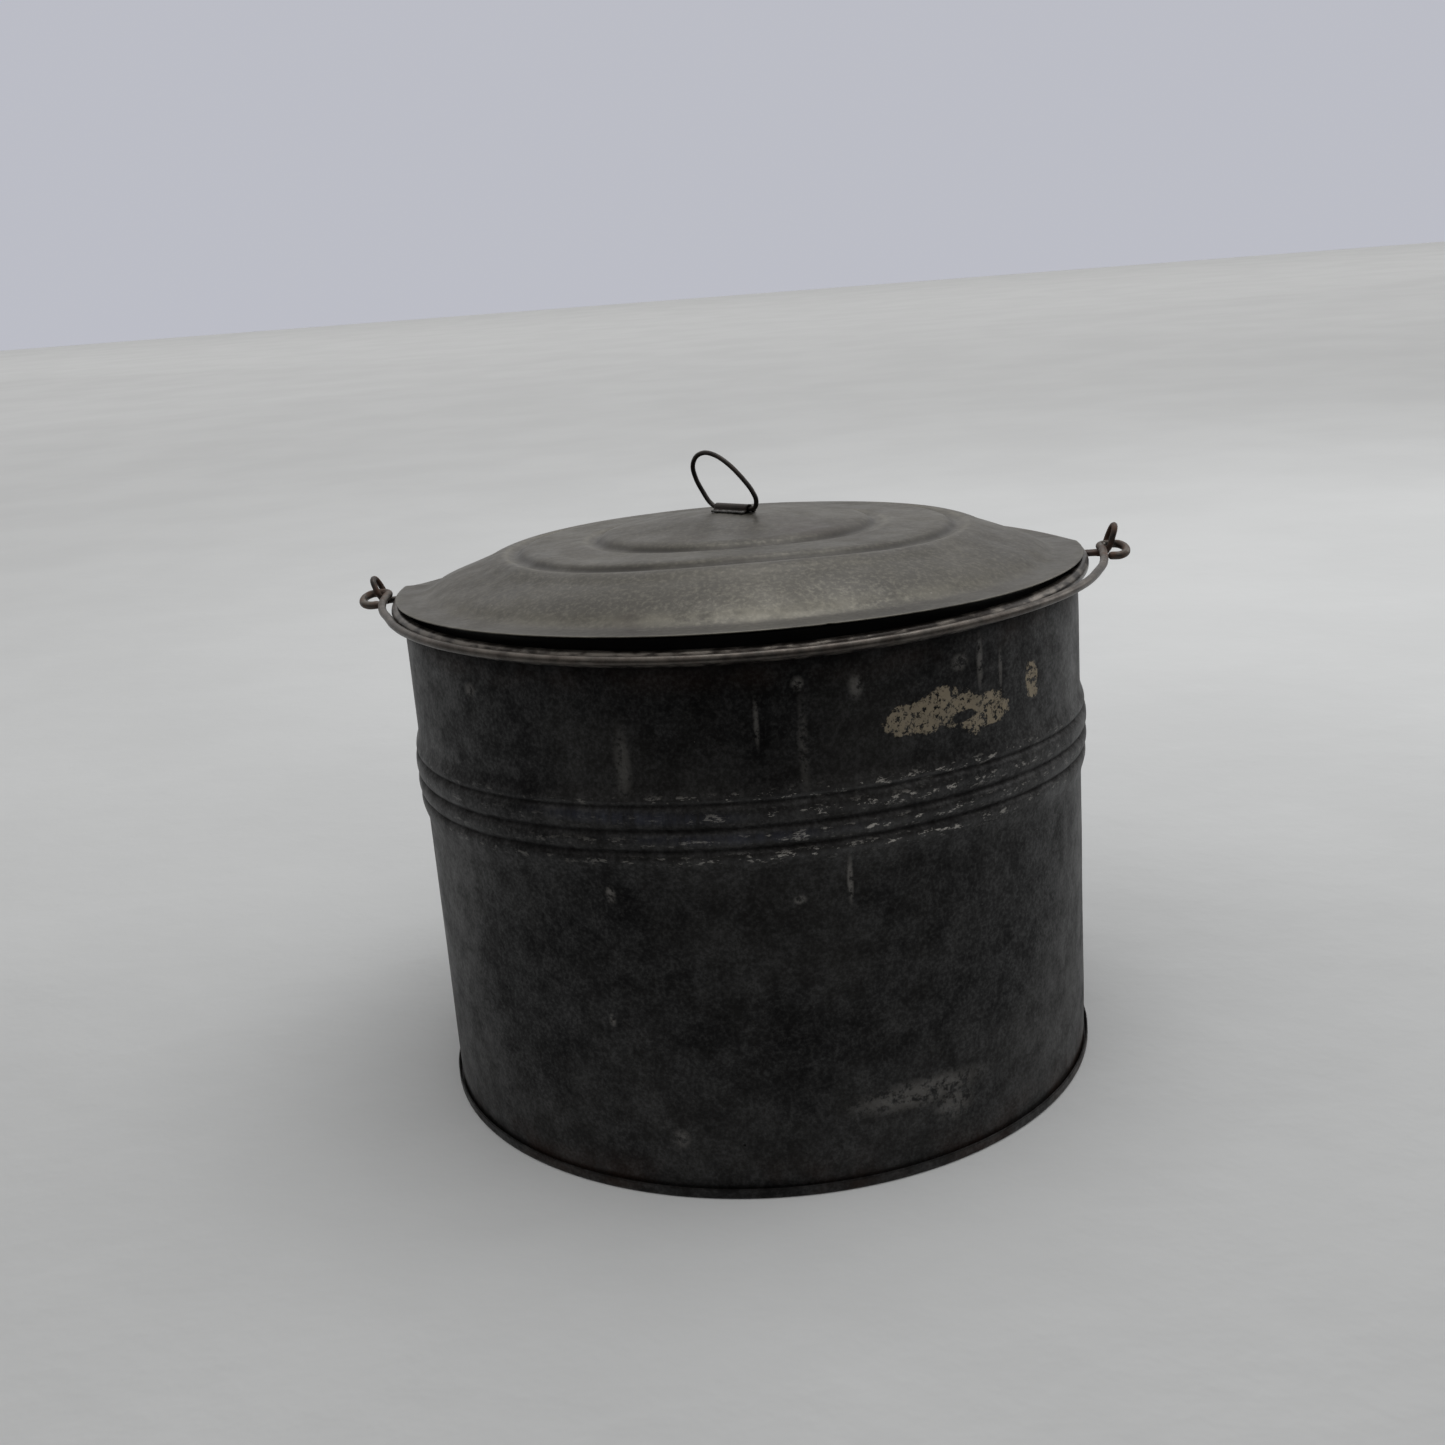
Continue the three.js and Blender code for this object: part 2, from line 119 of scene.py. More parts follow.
class PailColours(bpy.types.PropertyGroup):
    """Colours of the finishes."""
    body_black: colour("Body black", "Darkest oxide on the body", (0.0026, 0.0025, 0.0028))
    body_warm: colour("Body warm grey", "Worn warm grey of the body", (0.0135, 0.0128, 0.0120))
    lid_grey: colour("Lid grey", "Dull grey tin of the lid", (0.056, 0.052, 0.043))
    # The lid dust colour is also painted as highlights on the lid's shoulder, edge and ring crests.
    lid_dust_and_highlight: colour("Lid dust", "Light dusty wear on the lid", (0.165, 0.155, 0.125))
    stain: colour("Stain", "Purplish brown stains", (0.036, 0.028, 0.026))
    bare_tin: colour("Bare tin", "Bright worn tin", (0.52, 0.50, 0.46))
    wire_grey: colour("Wire grey", "Worn steel of the rim and the bail", (0.115, 0.103, 0.090))
    wire_black: colour("Wire black", "Blackened wire of the ears and the ring", (0.012, 0.011, 0.010))
    rust: colour("Rust", "Rust where wires touch", (0.085, 0.040, 0.022))
    paper: colour("Paper", "Torn remains of a paper label", (0.33, 0.275, 0.195))
    solder: colour("Solder", "Dull solder", (0.105, 0.103, 0.098))
    floor: colour("Floor", "Pale floor", (0.70, 0.715, 0.72))


class PailStage(bpy.types.PropertyGroup):
    """Where the camera stands, and the light."""
    camera_distance: length("Camera distance", "From the pail's axis, along the floor", 0.62142)
    camera_height: length("Camera height", "Above the floor", 0.31444)
    camera_bearing: angle("Camera bearing", "Round the pail from its front", 2)
    tilt: angle("Camera tilt", "Down from level", 16.328)
    pan: angle("Camera pan", "Away from the axis", -0.953)
    roll: angle("Camera roll", "About the line of sight", -4.429)
    lens: bpy.props.FloatProperty(name="Lens", description="Focal length on a 36 mm sensor", default=41.08,
                                  unit="CAMERA")
    light: bpy.props.FloatProperty(name="Light", description="Strength of the soft light", default=1.0)


# ---- Curves and meshes from numpy arrays ----

def spline(points, count, closed=False):
    """A smooth curve through the points: each span is the cubic with their places and slopes at its two ends,
    where a slope is taken across the neighbours by chord length. A closed one wraps round."""
    points = np.asarray(points, float)
    pad = 3 if closed else 0
    if closed:
        points = np.concatenate([points[-pad:], points, points[:pad + 1]])
    chord = np.linalg.norm(np.diff(points, axis=0), axis=1)
    at = np.concatenate([[0.0], np.cumsum(chord)])
    slope = np.gradient(points, at, axis=0)
    wanted = np.linspace(at[pad], at[len(at) - 1 - pad], count, endpoint=not closed)
    span = np.clip(np.searchsorted(at, wanted, "right") - 1, 0, len(chord) - 1)
    width = chord[span][:, None]
    t = (wanted - at[span])[:, None] / width
    ends = (1 + 2 * t) * (1 - t) ** 2 * points[span] + t * t * (3 - 2 * t) * points[span + 1]
    return ends + width * (t * (1 - t) ** 2 * slope[span] + t * t * (t - 1) * slope[span + 1])


def straight(start, end, count):
    """Evenly spaced points from start to end, with the end left out."""
    return np.linspace(start, end, count, endpoint=False)


def arc(centre, radius, start, end, count):
    """Points on a circle in the section, from one angle to another in degrees."""
    turn = np.radians(np.linspace(start, end, count))
    return np.stack([centre[0] + radius * np.cos(turn), centre[1] + radius * np.sin(turn)], axis=1)


def sheet_section(line, thickness, closed=True):
    """The outline of a bent sheet: its middle line moved by half the thickness along its normals, up one side,
    round the end in a half circle, and back down the other side. A closed one has a round start too."""
    along = np.gradient(line, axis=0)
    along /= np.linalg.norm(along, axis=1)[:, None]
    across = np.stack([-along[:, 1], along[:, 0]], axis=1) * thickness / 2

    def cap(i, sign):
        turn = np.radians([45, 90, 135])[:, None]
        return line[i] + sign * (across[i] * np.cos(turn) + along[i] * np.sin(turn) * thickness / 2)

    parts = [line + across, cap(-1, 1), (line - across)[::-1]]
    if closed:
        parts.append(cap(0, -1))
    return np.concatenate(parts)


def turned(section, bearings):
    """The section's points, as radius and height, turned to each bearing: x = r sin b, y = -r cos b, z = h."""
    radius, height = section[:, 0, None], section[:, 1, None]
    return np.stack([radius * np.sin(bearings), -radius * np.cos(bearings), height + 0 * bearings], axis=2)


def round_bearings(count, finer_at=(), finer=()):
    """Even bearings over the full turn, with extra ones at small steps to both sides of some of them."""
    even = np.linspace(-np.pi, np.pi, count, endpoint=False)
    extra = [np.radians(b) + s * np.asarray(finer) for b in finer_at for s in (-1, 1)]
    return np.unique(np.concatenate([even, *extra]).round(6))


def tube(path, radius, reference, sides=20, closed=False):
    """A wire: circles square to the path. Each circle's first axis is the reference direction less its part
    along the path. The ends of an open wire are rounded off by circles that shrink as a half circle does."""
    path = np.asarray(path, float)
    radii = np.broadcast_to(radius, len(path)).astype(float)
    if closed:
        along = np.roll(path, -1, axis=0) - np.roll(path, 1, axis=0)
    else:
        along = np.gradient(path, axis=0)
    along /= np.linalg.norm(along, axis=1)[:, None]
    if not closed:
        rise = np.sin(np.radians([15, 35, 55, 75, 90]))[:, None]
        shrink = np.sqrt(1 - np.minimum(rise, 0.995) ** 2)[:, 0]
        path = np.concatenate([(path[0] - along[0] * radii[0] * rise)[::-1], path,
                               path[-1] + along[-1] * radii[-1] * rise])
        along = np.concatenate([np.repeat(along[:1], len(rise), 0), along, np.repeat(along[-1:], len(rise), 0)])
        radii = np.concatenate([radii[0] * shrink[::-1], radii, radii[-1] * shrink])
    first = np.asarray(reference, float) - along * (along @ np.asarray(reference, float))[:, None]
    first /= np.linalg.norm(first, axis=1)[:, None]
    second = np.cross(along, first)
    turn = np.linspace(0, 2 * np.pi, sides, endpoint=False)[None, :, None]
    circle = first[:, None] * np.cos(turn) + second[:, None] * np.sin(turn)
    return path[:, None] + circle * radii[:, None, None]


def waves(bearing, height, seed, turns, tall):
    """A smooth uneven field of about -1 to 1: a sum of twelve cosines of whole numbers of turns round the pail
    and of heights, with seeded phases."""
    rng = np.random.default_rng(seed)
    around = rng.integers(1, turns + 1, 12)
    upward = rng.normal(0, 1 / tall, 12)
    phase = rng.uniform(0, 2 * np.pi, 12)
    share = rng.uniform(0.4, 1.0, 12) / np.sqrt(around)
    total = sum(s * np.cos(k * bearing + u * height + p) for s, k, u, p in zip(share, around, upward, phase))
    return total / np.sqrt((share ** 2).sum() * 2)


def bump_at(value, centre, width):
    """A bell curve of the value: 1 at the centre, and about a third at the width."""
    return np.exp(-((value - centre) / width) ** 2)


def step_at(value, low, high):
    """A smooth step of the value, 0 below low and 1 above high."""
    t = np.clip((value - low) / (high - low), 0, 1)
    return t * t * (3 - 2 * t)


def piece_from(name, rings, material, closed=False, marks=None):
    """A closed mesh from rings of points, an array of (rings, points round, 3): quads join each ring to the
    next. The last ring joins the first if closed, and otherwise each end closes on a point in its middle. Marks
    are numbers kept at the points."""
    count, sides = rings.shape[:2]
    points = rings.reshape(-1, 3)
    if not closed:
        points = np.concatenate([points, rings[:1].mean(axis=1), rings[-1:].mean(axis=1)])
    ring = np.arange(count if closed else count - 1)[:, None]
    side = np.arange(sides)[None, :]
    after, beside = (ring + 1) % count, (side + 1) % sides
    corners = [ring * sides + side, ring * sides + beside, after * sides + beside, after * sides + side]
    quads = np.stack(corners, axis=2).reshape(-1, 4)
    around = np.arange(sides)
    first, last = count * sides, (count - 1) * sides
    fans = np.empty((0, 3), int) if closed else np.concatenate([
        np.stack([np.full(sides, first), (around + 1) % sides, around], axis=1),
        np.stack([np.full(sides, first + 1), last + around, last + (around + 1) % sides], axis=1)])
    a, b, c, d = (points[quads[:, i]] for i in range(4))
    volume = (np.einsum("ij,ij->i", a, np.cross(b, c)) + np.einsum("ij,ij->i", a, np.cross(c, d))).sum()
    if volume < 0:
        quads, fans = quads[:, ::-1], fans[:, ::-1]
    mesh = bpy.data.meshes.new(name)
    mesh.vertices.add(len(points))
    mesh.vertices.foreach_set("co", points.astype(np.float32).ravel())
    mesh.loops.add(quads.size + fans.size)
    mesh.loops.foreach_set("vertex_index", np.concatenate([quads.ravel(), fans.ravel()]).astype(np.int32))
    mesh.polygons.add(len(quads) + len(fans))
    starts = np.concatenate([np.arange(len(quads)) * 4, quads.size + np.arange(len(fans)) * 3])
    mesh.polygons.foreach_set("loop_start", starts.astype(np.int32))
    mesh.polygons.foreach_set("use_smooth", np.ones(len(starts), bool))
    mesh.update(calc_edges=True)
    for label, values in (marks or {}).items():
        values = np.broadcast_to(values, (count, sides))
        ends = [] if closed else [values[0].mean(), values[-1].mean()]
        mesh.attributes.new(label, "FLOAT", "POINT").data.foreach_set(
            "value", np.append(values, ends).astype(np.float32))
    if mesh.validate():
        raise RuntimeError(f"{name} has faces that aren't sound")
    mesh.materials.append(material)
    made = bpy.data.objects.new(name, mesh)
    bpy.context.scene.collection.objects.link(made)
    return made


def settle(piece, body, slot, *nodes):
    """Puts a finished piece on its body, in place of CAD nodes. The slot is not used."""
    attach(piece, body)
    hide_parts(*nodes)
    return piece


# ---- Finishes ----

class Finish:
    """A node tree written as values: each method adds a node and gives back its output."""

    def __init__(self, owner):
        owner.use_nodes = True
        self.owner = owner
        self.tree = owner.node_tree
        self.tree.nodes.clear()

    def node(self, kind, inputs=None, output=0, **settings):
        made = self.tree.nodes.new("ShaderNode" + kind)
        for key, value in settings.items():
            setattr(made, key, value)
        for key, value in (inputs or {}).items():
            if isinstance(value, bpy.types.NodeSocket):
                self.tree.links.new(value, made.inputs[key])
            else:
                made.inputs[key].default_value = value
        return made.outputs[output] if made.outputs else None

    def place(self):
        return self.node("TexCoord", output="Object")

    def mark(self, name):
        return self.node("Attribute", output="Fac", attribute_name=name)

    def math(self, operation, a, b=0.0):
        return self.node("Math", {0: a, 1: b}, operation=operation)

    def times(self, *values):
        total = values[0]
        for value in values[1:]:
            total = self.math("MULTIPLY", total, value)
        return total

    def most(self, *values):
        total = values[0]
        for value in values[1:]:
            total = self.math("MAXIMUM", total, value)
        return total

    def level(self, value, low, high, start=0.0, end=1.0):
        inputs = {"Value": value, "From Min": low, "From Max": high, "To Min": start, "To Max": end}
        return self.node("MapRange", inputs, interpolation_type="SMOOTHSTEP")

    def noise(self, size, detail=3.0, rough=0.55, stretch=(1, 1, 1), at=(0, 0, 0)):
        """Noise with spots of about the given size in metres, longer where stretch is above 1."""
        scale = [1 / s for s in stretch]
        inputs = {"Vector": self.place(), "Location": at, "Scale": scale}
        moved = self.node("Mapping", inputs)
        inputs = {"Vector": moved, "Scale": 0.5 / size, "Detail": detail, "Roughness": rough}
        return self.node("TexNoise", inputs)

    def spots(self, size, share, soft=0.03, **rest):
        """1 in scattered spots and 0 elsewhere: noise above a high level. A smaller share gives fewer."""
        edge = 0.5 + 0.32 * (1 - share)
        return self.level(self.noise(size, **rest), edge, edge + soft)

    def mix(self, share, a, b):
        """A colour: a where the share is 0 and b where it is 1."""
        return self.node("Mix", {0: share, 6: as_rgba(a), 7: as_rgba(b)}, output=2, data_type="RGBA")

    def blend(self, share, a, b):
        """A number: a where the share is 0 and b where it is 1."""
        return self.node("Mix", {0: share, 2: a, 3: b})

    def less(self, value, taken):
        return self.math("SUBTRACT", value, taken)

    def bump(self, height, distance, below=None):
        inputs = {"Height": height, "Distance": distance, "Strength": 1.0}
        if below is not None:
            inputs["Normal"] = below
        return self.node("Bump", inputs)

    def surface(self, **inputs):
        named = {key.replace("_", " ").title().replace("Ior", "IOR"): value for key, value in inputs.items()}
        shader = self.node("BsdfPrincipled", named)
        self.node("OutputMaterial", {"Surface": shader})
        return self.owner


def as_rgba(value):
    return value if isinstance(value, bpy.types.NodeSocket) else (*value[:3], 1.0)


def shade(colour_of, share):
    """The colour made darker or lighter by a share of itself."""
    return [share * part for part in colour_of]


def new_finish(name):
    return Finish(bpy.data.materials.new(name))


def around_wall(f):
    """A vector of the distance round the wall from the front and the height, both in metres."""
    parts = f.node("SeparateXYZ", {0: f.place()}).node
    turn = f.math("ARCTAN2", parts.outputs["X"], f.times(parts.outputs["Y"], -1.0))
    return f.node("CombineXYZ", {"X": f.times(turn, ROUND), "Y": parts.outputs["Z"]})


def patch(f, where, bearing, height, wide, tall, soft=0.35, ragged=None):
    """1 inside an ellipse on the wall and 0 outside, with a soft or ragged edge. Sizes are in millimetres."""
    centre = (np.radians(bearing) * ROUND, height * MM, 0)
    offset = f.node("VectorMath", {0: where, 1: centre}, operation="SUBTRACT")
    scaled = f.node("VectorMath", {0: offset, 1: (2 / (wide * MM), 2 / (tall * MM), 0)}, operation="MULTIPLY")
    distance = f.node("VectorMath", {0: scaled}, output="Value", operation="LENGTH")
    if ragged is not None:
        distance = f.math("ADD", distance, ragged)
    return f.level(distance, 1 + soft, 1 - soft)


# Marks on the front of the body: bearing in degrees, height, width, height of the mark and its strength.
LIGHT_MARKS = (
    (15.2, 113, 1.8, 14, 0.8), (-21, 110.5, 3.2, 5, 0.8), (7.6, 108, 3.5, 2.6, 0.8), (-22.7, 64.6, 2.2, 4, 0.7),
    (-17, 156, 5, 20, 0.35), (39, 177, 2.4, 16, 0.6), (43.5, 172, 1.6, 12, 0.5), (9.2, 180, 3.5, 4, 0.7),
    (17.6, 177, 4, 7, 0.6), (35, 178, 6, 5, 0.55), (-44.8, 175.6, 5, 4, 0.5), (3, 169, 1.5, 14, 0.5),
    (25, 30, 44, 9, 0.5), (31, 23, 14, 12, 0.4), (-13, 22, 5, 6, 0.45), (9.5, 160, 3, 26, 0.3),
)
# The label's parts, the holes torn in it, a flake beside it, the painted bluish reflection highlights on two
# of the ribs, and a patch of pits near the foot, all given in the same way.
LABEL_PARTS = ((26, 162.6, 19, 10.5), (31.2, 163.6, 23, 13.5), (39.5, 159.2, 25, 12.5))
LABEL_HOLES = ((35.5, 159.6, 12, 4.0), (41.5, 152.6, 12, 3.0))
LABEL_FLAKE = (51.5, 163.5, 8, 13)
RIB_PAINTED_HIGHLIGHTS = ((-16, 138.4, 56, 4.0, 0.8), (0, 131.2, 66, 3.2, 0.6))
PITTED_PATCH = (3, 16, 85, 26)


def oxide_colour(f, colours, height, clouds, grain, streaks):
    """Black to warm grey in clouds, streaks and grain, paler near the foot, with rust at the foot and rim."""
    base = f.mix(f.level(clouds, 0.38, 0.68), colours.body_black, colours.body_warm)
    base = f.mix(f.level(streaks, 0.52, 0.78, 0, 0.35), base, colours.body_warm)
    base = f.mix(f.level(grain, 0.45, 0.75, 0, 0.45), base, (0.030, 0.029, 0.028))
    bloom = f.times(f.level(height, 0.10, 0.0, 0.0, 0.35), f.level(clouds, 0.35, 0.6))
    base = f.mix(bloom, base, (0.016, 0.0155, 0.0155))
    ends = f.most(f.level(height, 0.018, 0.002), f.level(height, 0.176, 0.188))
    rust = f.times(ends, f.level(f.noise(0.012, detail=5, at=(0.2, 0.5, 0.1)), 0.42, 0.66, 0, 0.5))
    return f.mix(rust, base, (0.030, 0.015, 0.010))


def light_scuffs(f, where):
    """How far light marks cover the oxide: fine specks all over, and the marks at their own places."""
    broken = f.level(f.noise(0.0016, detail=4, rough=0.7, at=(0, 0.3, 0)), 0.38, 0.54)
    light = f.times(f.spots(0.0011, 0.16, at=(0.7, 0.2, 0)), 0.6)
    for *place, strength in LIGHT_MARKS:
        light = f.most(light, f.times(patch(f, where, *place, soft=0.6), broken, strength))
    return light


def torn_label(f, where):
    """How far paper covers the wall: ragged ellipses less their holes, and a flake, all broken into flecks."""
    torn = f.node("MapRange", {"Value": f.noise(0.0030, detail=5, rough=0.75, at=(0.2, 0.2, 0.8)),
                               "From Min": 0.3, "From Max": 0.7, "To Min": -0.32, "To Max": 0.32})
    label = 0.0
    for part in LABEL_PARTS:
        label = f.most(label, patch(f, where, *part, soft=0.06, ragged=torn))
    for hole in LABEL_HOLES:
        label = f.times(label, f.less(1.0, patch(f, where, *hole, soft=0.1, ragged=torn)))
    flake = patch(f, where, *LABEL_FLAKE, soft=0.08, ragged=torn)
    flecks = f.level(f.noise(0.0011, detail=4, rough=0.8, at=(0.6, 0, 0.1)), 0.44, 0.50)
    return f.times(f.most(label, flake), flecks)


def body_finish(colours):
    """Blackened tinplate: a dark satin oxide with warm worn clouds, fine grain, pits, drips and scuffs, bare
    tin along the crests of the ribs, grime and painted shade in their creases and under the rim, a painted
    bluish reflection highlight on two of the ribs, and the torn remains of a paper label."""
    f = new_finish("body_tin_finish")
    where = around_wall(f)
    height = f.node("SeparateXYZ", {0: f.place()}, output="Z")
    clouds = f.noise(0.030, detail=5, rough=0.6, at=(0.3, 0.1, 0.2))
    grain = f.noise(0.0007, detail=2, rough=0.7)
    streaks = f.noise(0.0016, detail=4, rough=0.65, stretch=(1, 1, 22), at=(0.05, 0, 0))
    wear_and_highlight, grime_and_shade, rim = f.mark("wear_and_highlight"), f.mark("grime_and_shade"), f.mark("rim")
    base = oxide_colour(f, colours, height, clouds, grain, streaks)
    foot_pits = f.times(f.spots(0.0022, 0.32, at=(0.1, 0.9, 0)), patch(f, where, *PITTED_PATCH, soft=0.5))
    pits = f.most(f.spots(0.0018, 0.20, at=(0.4, 0, 0)), foot_pits)
    base = f.mix(f.times(pits, 0.85), base, (0.004, 0.0035, 0.003))
    base = f.mix(light_scuffs(f, where), base, (0.170, 0.163, 0.152))
    crest = f.level(f.noise(0.0011, detail=5, rough=0.75, stretch=(2.2, 2.2, 0.8), at=(0.9, 0, 0)), 0.56, 0.62)
    bare = f.times(wear_and_highlight, crest)
    base = f.mix(bare, base, colours.bare_tin)
    # Painted reflection highlights: bluish streaks of colour along two of the ribs.
    for *place, strength in RIB_PAINTED_HIGHLIGHTS:
        painted_highlight = f.times(patch(f, where, *place, soft=0.8), f.level(streaks, 0.25, 0.7), strength)
        base = f.mix(painted_highlight, base, (0.036, 0.040, 0.058))
    # Grime and painted shade: the creases between the ribs and a band under the rim are darkened nearly to
    # black.
    base = f.mix(f.times(grime_and_shade, 0.8), base, (0.004, 0.0035, 0.0035))
    rim_wear = f.level(f.noise(0.004, detail=5, stretch=(1, 1, 0.4)), 0.42, 0.60)
    base = f.mix(rim, base, f.mix(rim_wear, (0.018, 0.015, 0.013), colours.wire_grey))
    label = torn_label(f, where)
    paper = f.mix(f.noise(0.0035, detail=4, rough=0.7), (0.17, 0.15, 0.11), colours.paper)
    base = f.mix(label, base, paper)
    rough = f.level(f.noise(0.010, detail=5, rough=0.7, at=(0, 0, 0.4)), 0.3, 0.7, 0.40, 0.54)
    rough = f.blend(f.most(label, f.times(grime_and_shade, 0.7)), rough, 0.85)
    rough = f.blend(f.most(bare, f.times(rim, 0.8)), rough, 0.30)
    metal = f.most(f.times(bare, 0.35), f.times(rim, 0.7))
    relief = f.math("ADD", f.times(f.noise(0.0012, detail=3), 0.5), f.times(label, 2.2))
    relief = f.less(relief, f.times(pits, 0.8))
    normal = f.bump(relief, 0.00005, f.bump(f.noise(0.018, detail=2), 0.0005))
    sheen = f.level(f.noise(0.0045, detail=8, rough=0.7, at=(0.5, 0.5, 0)), 0.36, 0.64, 0.14, 0.40)
    sheen = f.times(sheen, f.level(grain, 0.3, 0.7, 0.55, 1.25), f.level(clouds, 0.3, 0.7, 0.8, 1.15),
                    f.level(pits, 0.0, 1.0, 1.0, 0.05))
    sheen = f.math("ADD", sheen, f.times(wear_and_highlight, 0.35))
    return f.surface(base_color=base, roughness=rough, metallic=metal, normal=normal, specular_ior_level=sheen)


def lid_finish(colours):
    """Dull grey tinplate: dust and painted highlights along the front of the shoulder, on the flange's edge and
    on the crests of the pressed rings, purplish brown stains in the middle, fine grain, short scratches, pale
    specks, dirt and painted shade in the valleys of the pressed rings and on the flange, and a skirt painted
    black as shade where the mark for grime and shade is above 1."""
    f = new_finish("lid_tin_finish")
    clouds = f.noise(0.028, detail=6, rough=0.6, at=(0.6, 0.2, 0))
    grain = f.noise(0.0008, detail=2, rough=0.7)
    base = f.mix(f.level(clouds, 0.34, 0.66), shade(colours.lid_grey, 0.66), shade(colours.lid_grey, 1.12))
    base = f.mix(f.level(grain, 0.40, 0.75, 0, 0.40), base, colours.lid_dust_and_highlight)
    middle = f.level(f.mark("spread"), 0.075, 0.045)
    blots = f.level(f.noise(0.020, detail=6, rough=0.65, at=(0.15, 0.7, 0)), 0.46, 0.66)
    base = f.mix(f.times(middle, blots, 0.55), base, colours.stain)
    edge_blots = f.level(f.noise(0.014, detail=6, rough=0.65, at=(0.35, 0.1, 0)), 0.60, 0.72)
    base = f.mix(f.times(edge_blots, 0.45), base, colours.stain)
    # Dust and painted highlights: lighter colour on the front of the shoulder, the flange's edge and the ring
    # crests.
    dust_and_highlight = f.times(f.mark("wear_and_highlight"), f.level(f.noise(0.006, detail=5, rough=0.7), 0.30, 0.62), 0.75)
    base = f.mix(dust_and_highlight, base, colours.lid_dust_and_highlight)
    specks = f.spots(0.0012, 0.14, at=(0.5, 0, 0))
    scratches = f.spots(0.0007, 0.25, stretch=(14, 1, 1), at=(0, 0.4, 0))
    light = f.most(f.times(specks, 0.8), f.times(scratches, 0.35))
    base = f.mix(light, base, colours.bare_tin)
    pits = f.spots(0.0014, 0.16, at=(0.8, 0.8, 0))
    base = f.mix(f.times(pits, 0.6), base, (0.02, 0.018, 0.016))
    # Dirt and painted shade: the valleys of the pressed rings and the flange are darkened.
    grime_and_shade = f.mark("grime_and_shade")
    dirt_and_shade = f.times(grime_and_shade, f.level(f.noise(0.01, detail=4), 0.25, 0.6, 0.5, 1.0))
    base = f.mix(dirt_and_shade, base, (0.020, 0.018, 0.015))
    # Painted shade: where the mark is above 1, on the skirt in the gap under the lid, the tin is made near
    # black.
    base = f.mix(f.level(grime_and_shade, 1.0, 1.5), base, (0.006, 0.0055, 0.005))
    rough = f.level(f.noise(0.008, detail=5, rough=0.7), 0.3, 0.7, 0.34, 0.50)
    rough = f.blend(f.times(light, 0.5), rough, 0.3)
    relief = f.math("ADD", f.noise(0.0010, detail=3), f.times(light, 0.3))
    relief = f.less(relief, f.times(pits, 0.8))
    normal = f.bump(relief, 0.00004, f.bump(f.noise(0.016, detail=2), 0.0004))
    return f.surface(base_color=base, roughness=rough, metallic=0.55, normal=normal, specular_ior_level=0.4)


def wire_finish(name, light, dark, rust, rust_from, rough):
    """Old steel wire: worn light patches over a dark skin, fine grain, and rust past a distance from the pail's
    middle plane, where the bail rubs in its ears."""
    f = new_finish(name)
    x = f.math("ABSOLUTE", f.node("SeparateXYZ", {0: f.place()}, output="X"))
    worn = f.noise(0.005, detail=6, rough=0.7)
    base = f.mix(f.level(worn, 0.36, 0.66), dark, light)
    spotted = f.level(f.noise(0.0022, detail=5, rough=0.7, at=(0.3, 0, 0)), 0.38, 0.62)
    rusted = f.times(f.level(x, rust_from, rust_from + 6 * MM, 0.12, 0.75), spotted)
    base = f.mix(rusted, base, rust)
    grain = f.noise(0.0006, detail=3, rough=0.7)
    base = f.mix(f.level(grain, 0.55, 0.75, 0, 0.4), base, light)
    roughness = f.blend(rusted, rough, 0.8)
    metal = f.less(0.75, f.times(rusted, 0.65))
    normal = f.bump(f.noise(0.0009, detail=4, rough=0.7), 0.00008)
    return f.surface(base_color=base, roughness=roughness, metallic=metal, normal=normal)


def solder_finish(colours):
    """Dull solder, darkened in blotches."""
    f = new_finish("solder_finish")
    blotch = f.noise(0.004, detail=5, rough=0.65)
    base = f.mix(f.level(blotch, 0.35, 0.65), shade(colours.solder, 0.35), colours.solder)
    normal = f.bump(f.noise(0.0012, detail=3), 0.00012)
    rough = f.level(blotch, 0.3, 0.7, 0.38, 0.6)
    return f.surface(base_color=base, roughness=rough, metallic=0.7, normal=normal)


def floor_finish(colours):
    """Smooth pale plaster with a very faint cloudiness."""
    f = new_finish("floor_finish")
    clouds = f.noise(0.12, detail=4)
    base = f.mix(f.level(clouds, 0.3, 0.7), shade(colours.floor, 0.95), colours.floor)
    normal = f.bump(f.noise(0.02, detail=4), 0.0006)
    return f.surface(base_color=base, roughness=0.9, normal=normal, specular_ior_level=0.1)


def finish(name, make):
    """The material of that name, made the first time it is asked for."""
    return bpy.data.materials.get(name) or make()


def tin_of(colours):
    return finish("body_tin_finish", lambda: body_finish(colours))


def solder_of(colours):
    return finish("solder_finish", lambda: solder_finish(colours))


def dark_wire_of(colours):
    return finish("dark_wire_finish", lambda: wire_finish(
        "dark_wire_finish", shade(colours.wire_black, 3.2), colours.wire_black, colours.rust, 0.130, 0.42))


def bail_wire_of(colours):
    return finish("bail_wire_finish", lambda: wire_finish(
        "bail_wire_finish", colours.wire_grey, shade(colours.wire_grey, 0.35), colours.rust, 0.131, 0.36))


def lid_tin_of(colours):
    return finish("lid_tin_finish", lambda: lid_finish(colours))


# ---- Body ----

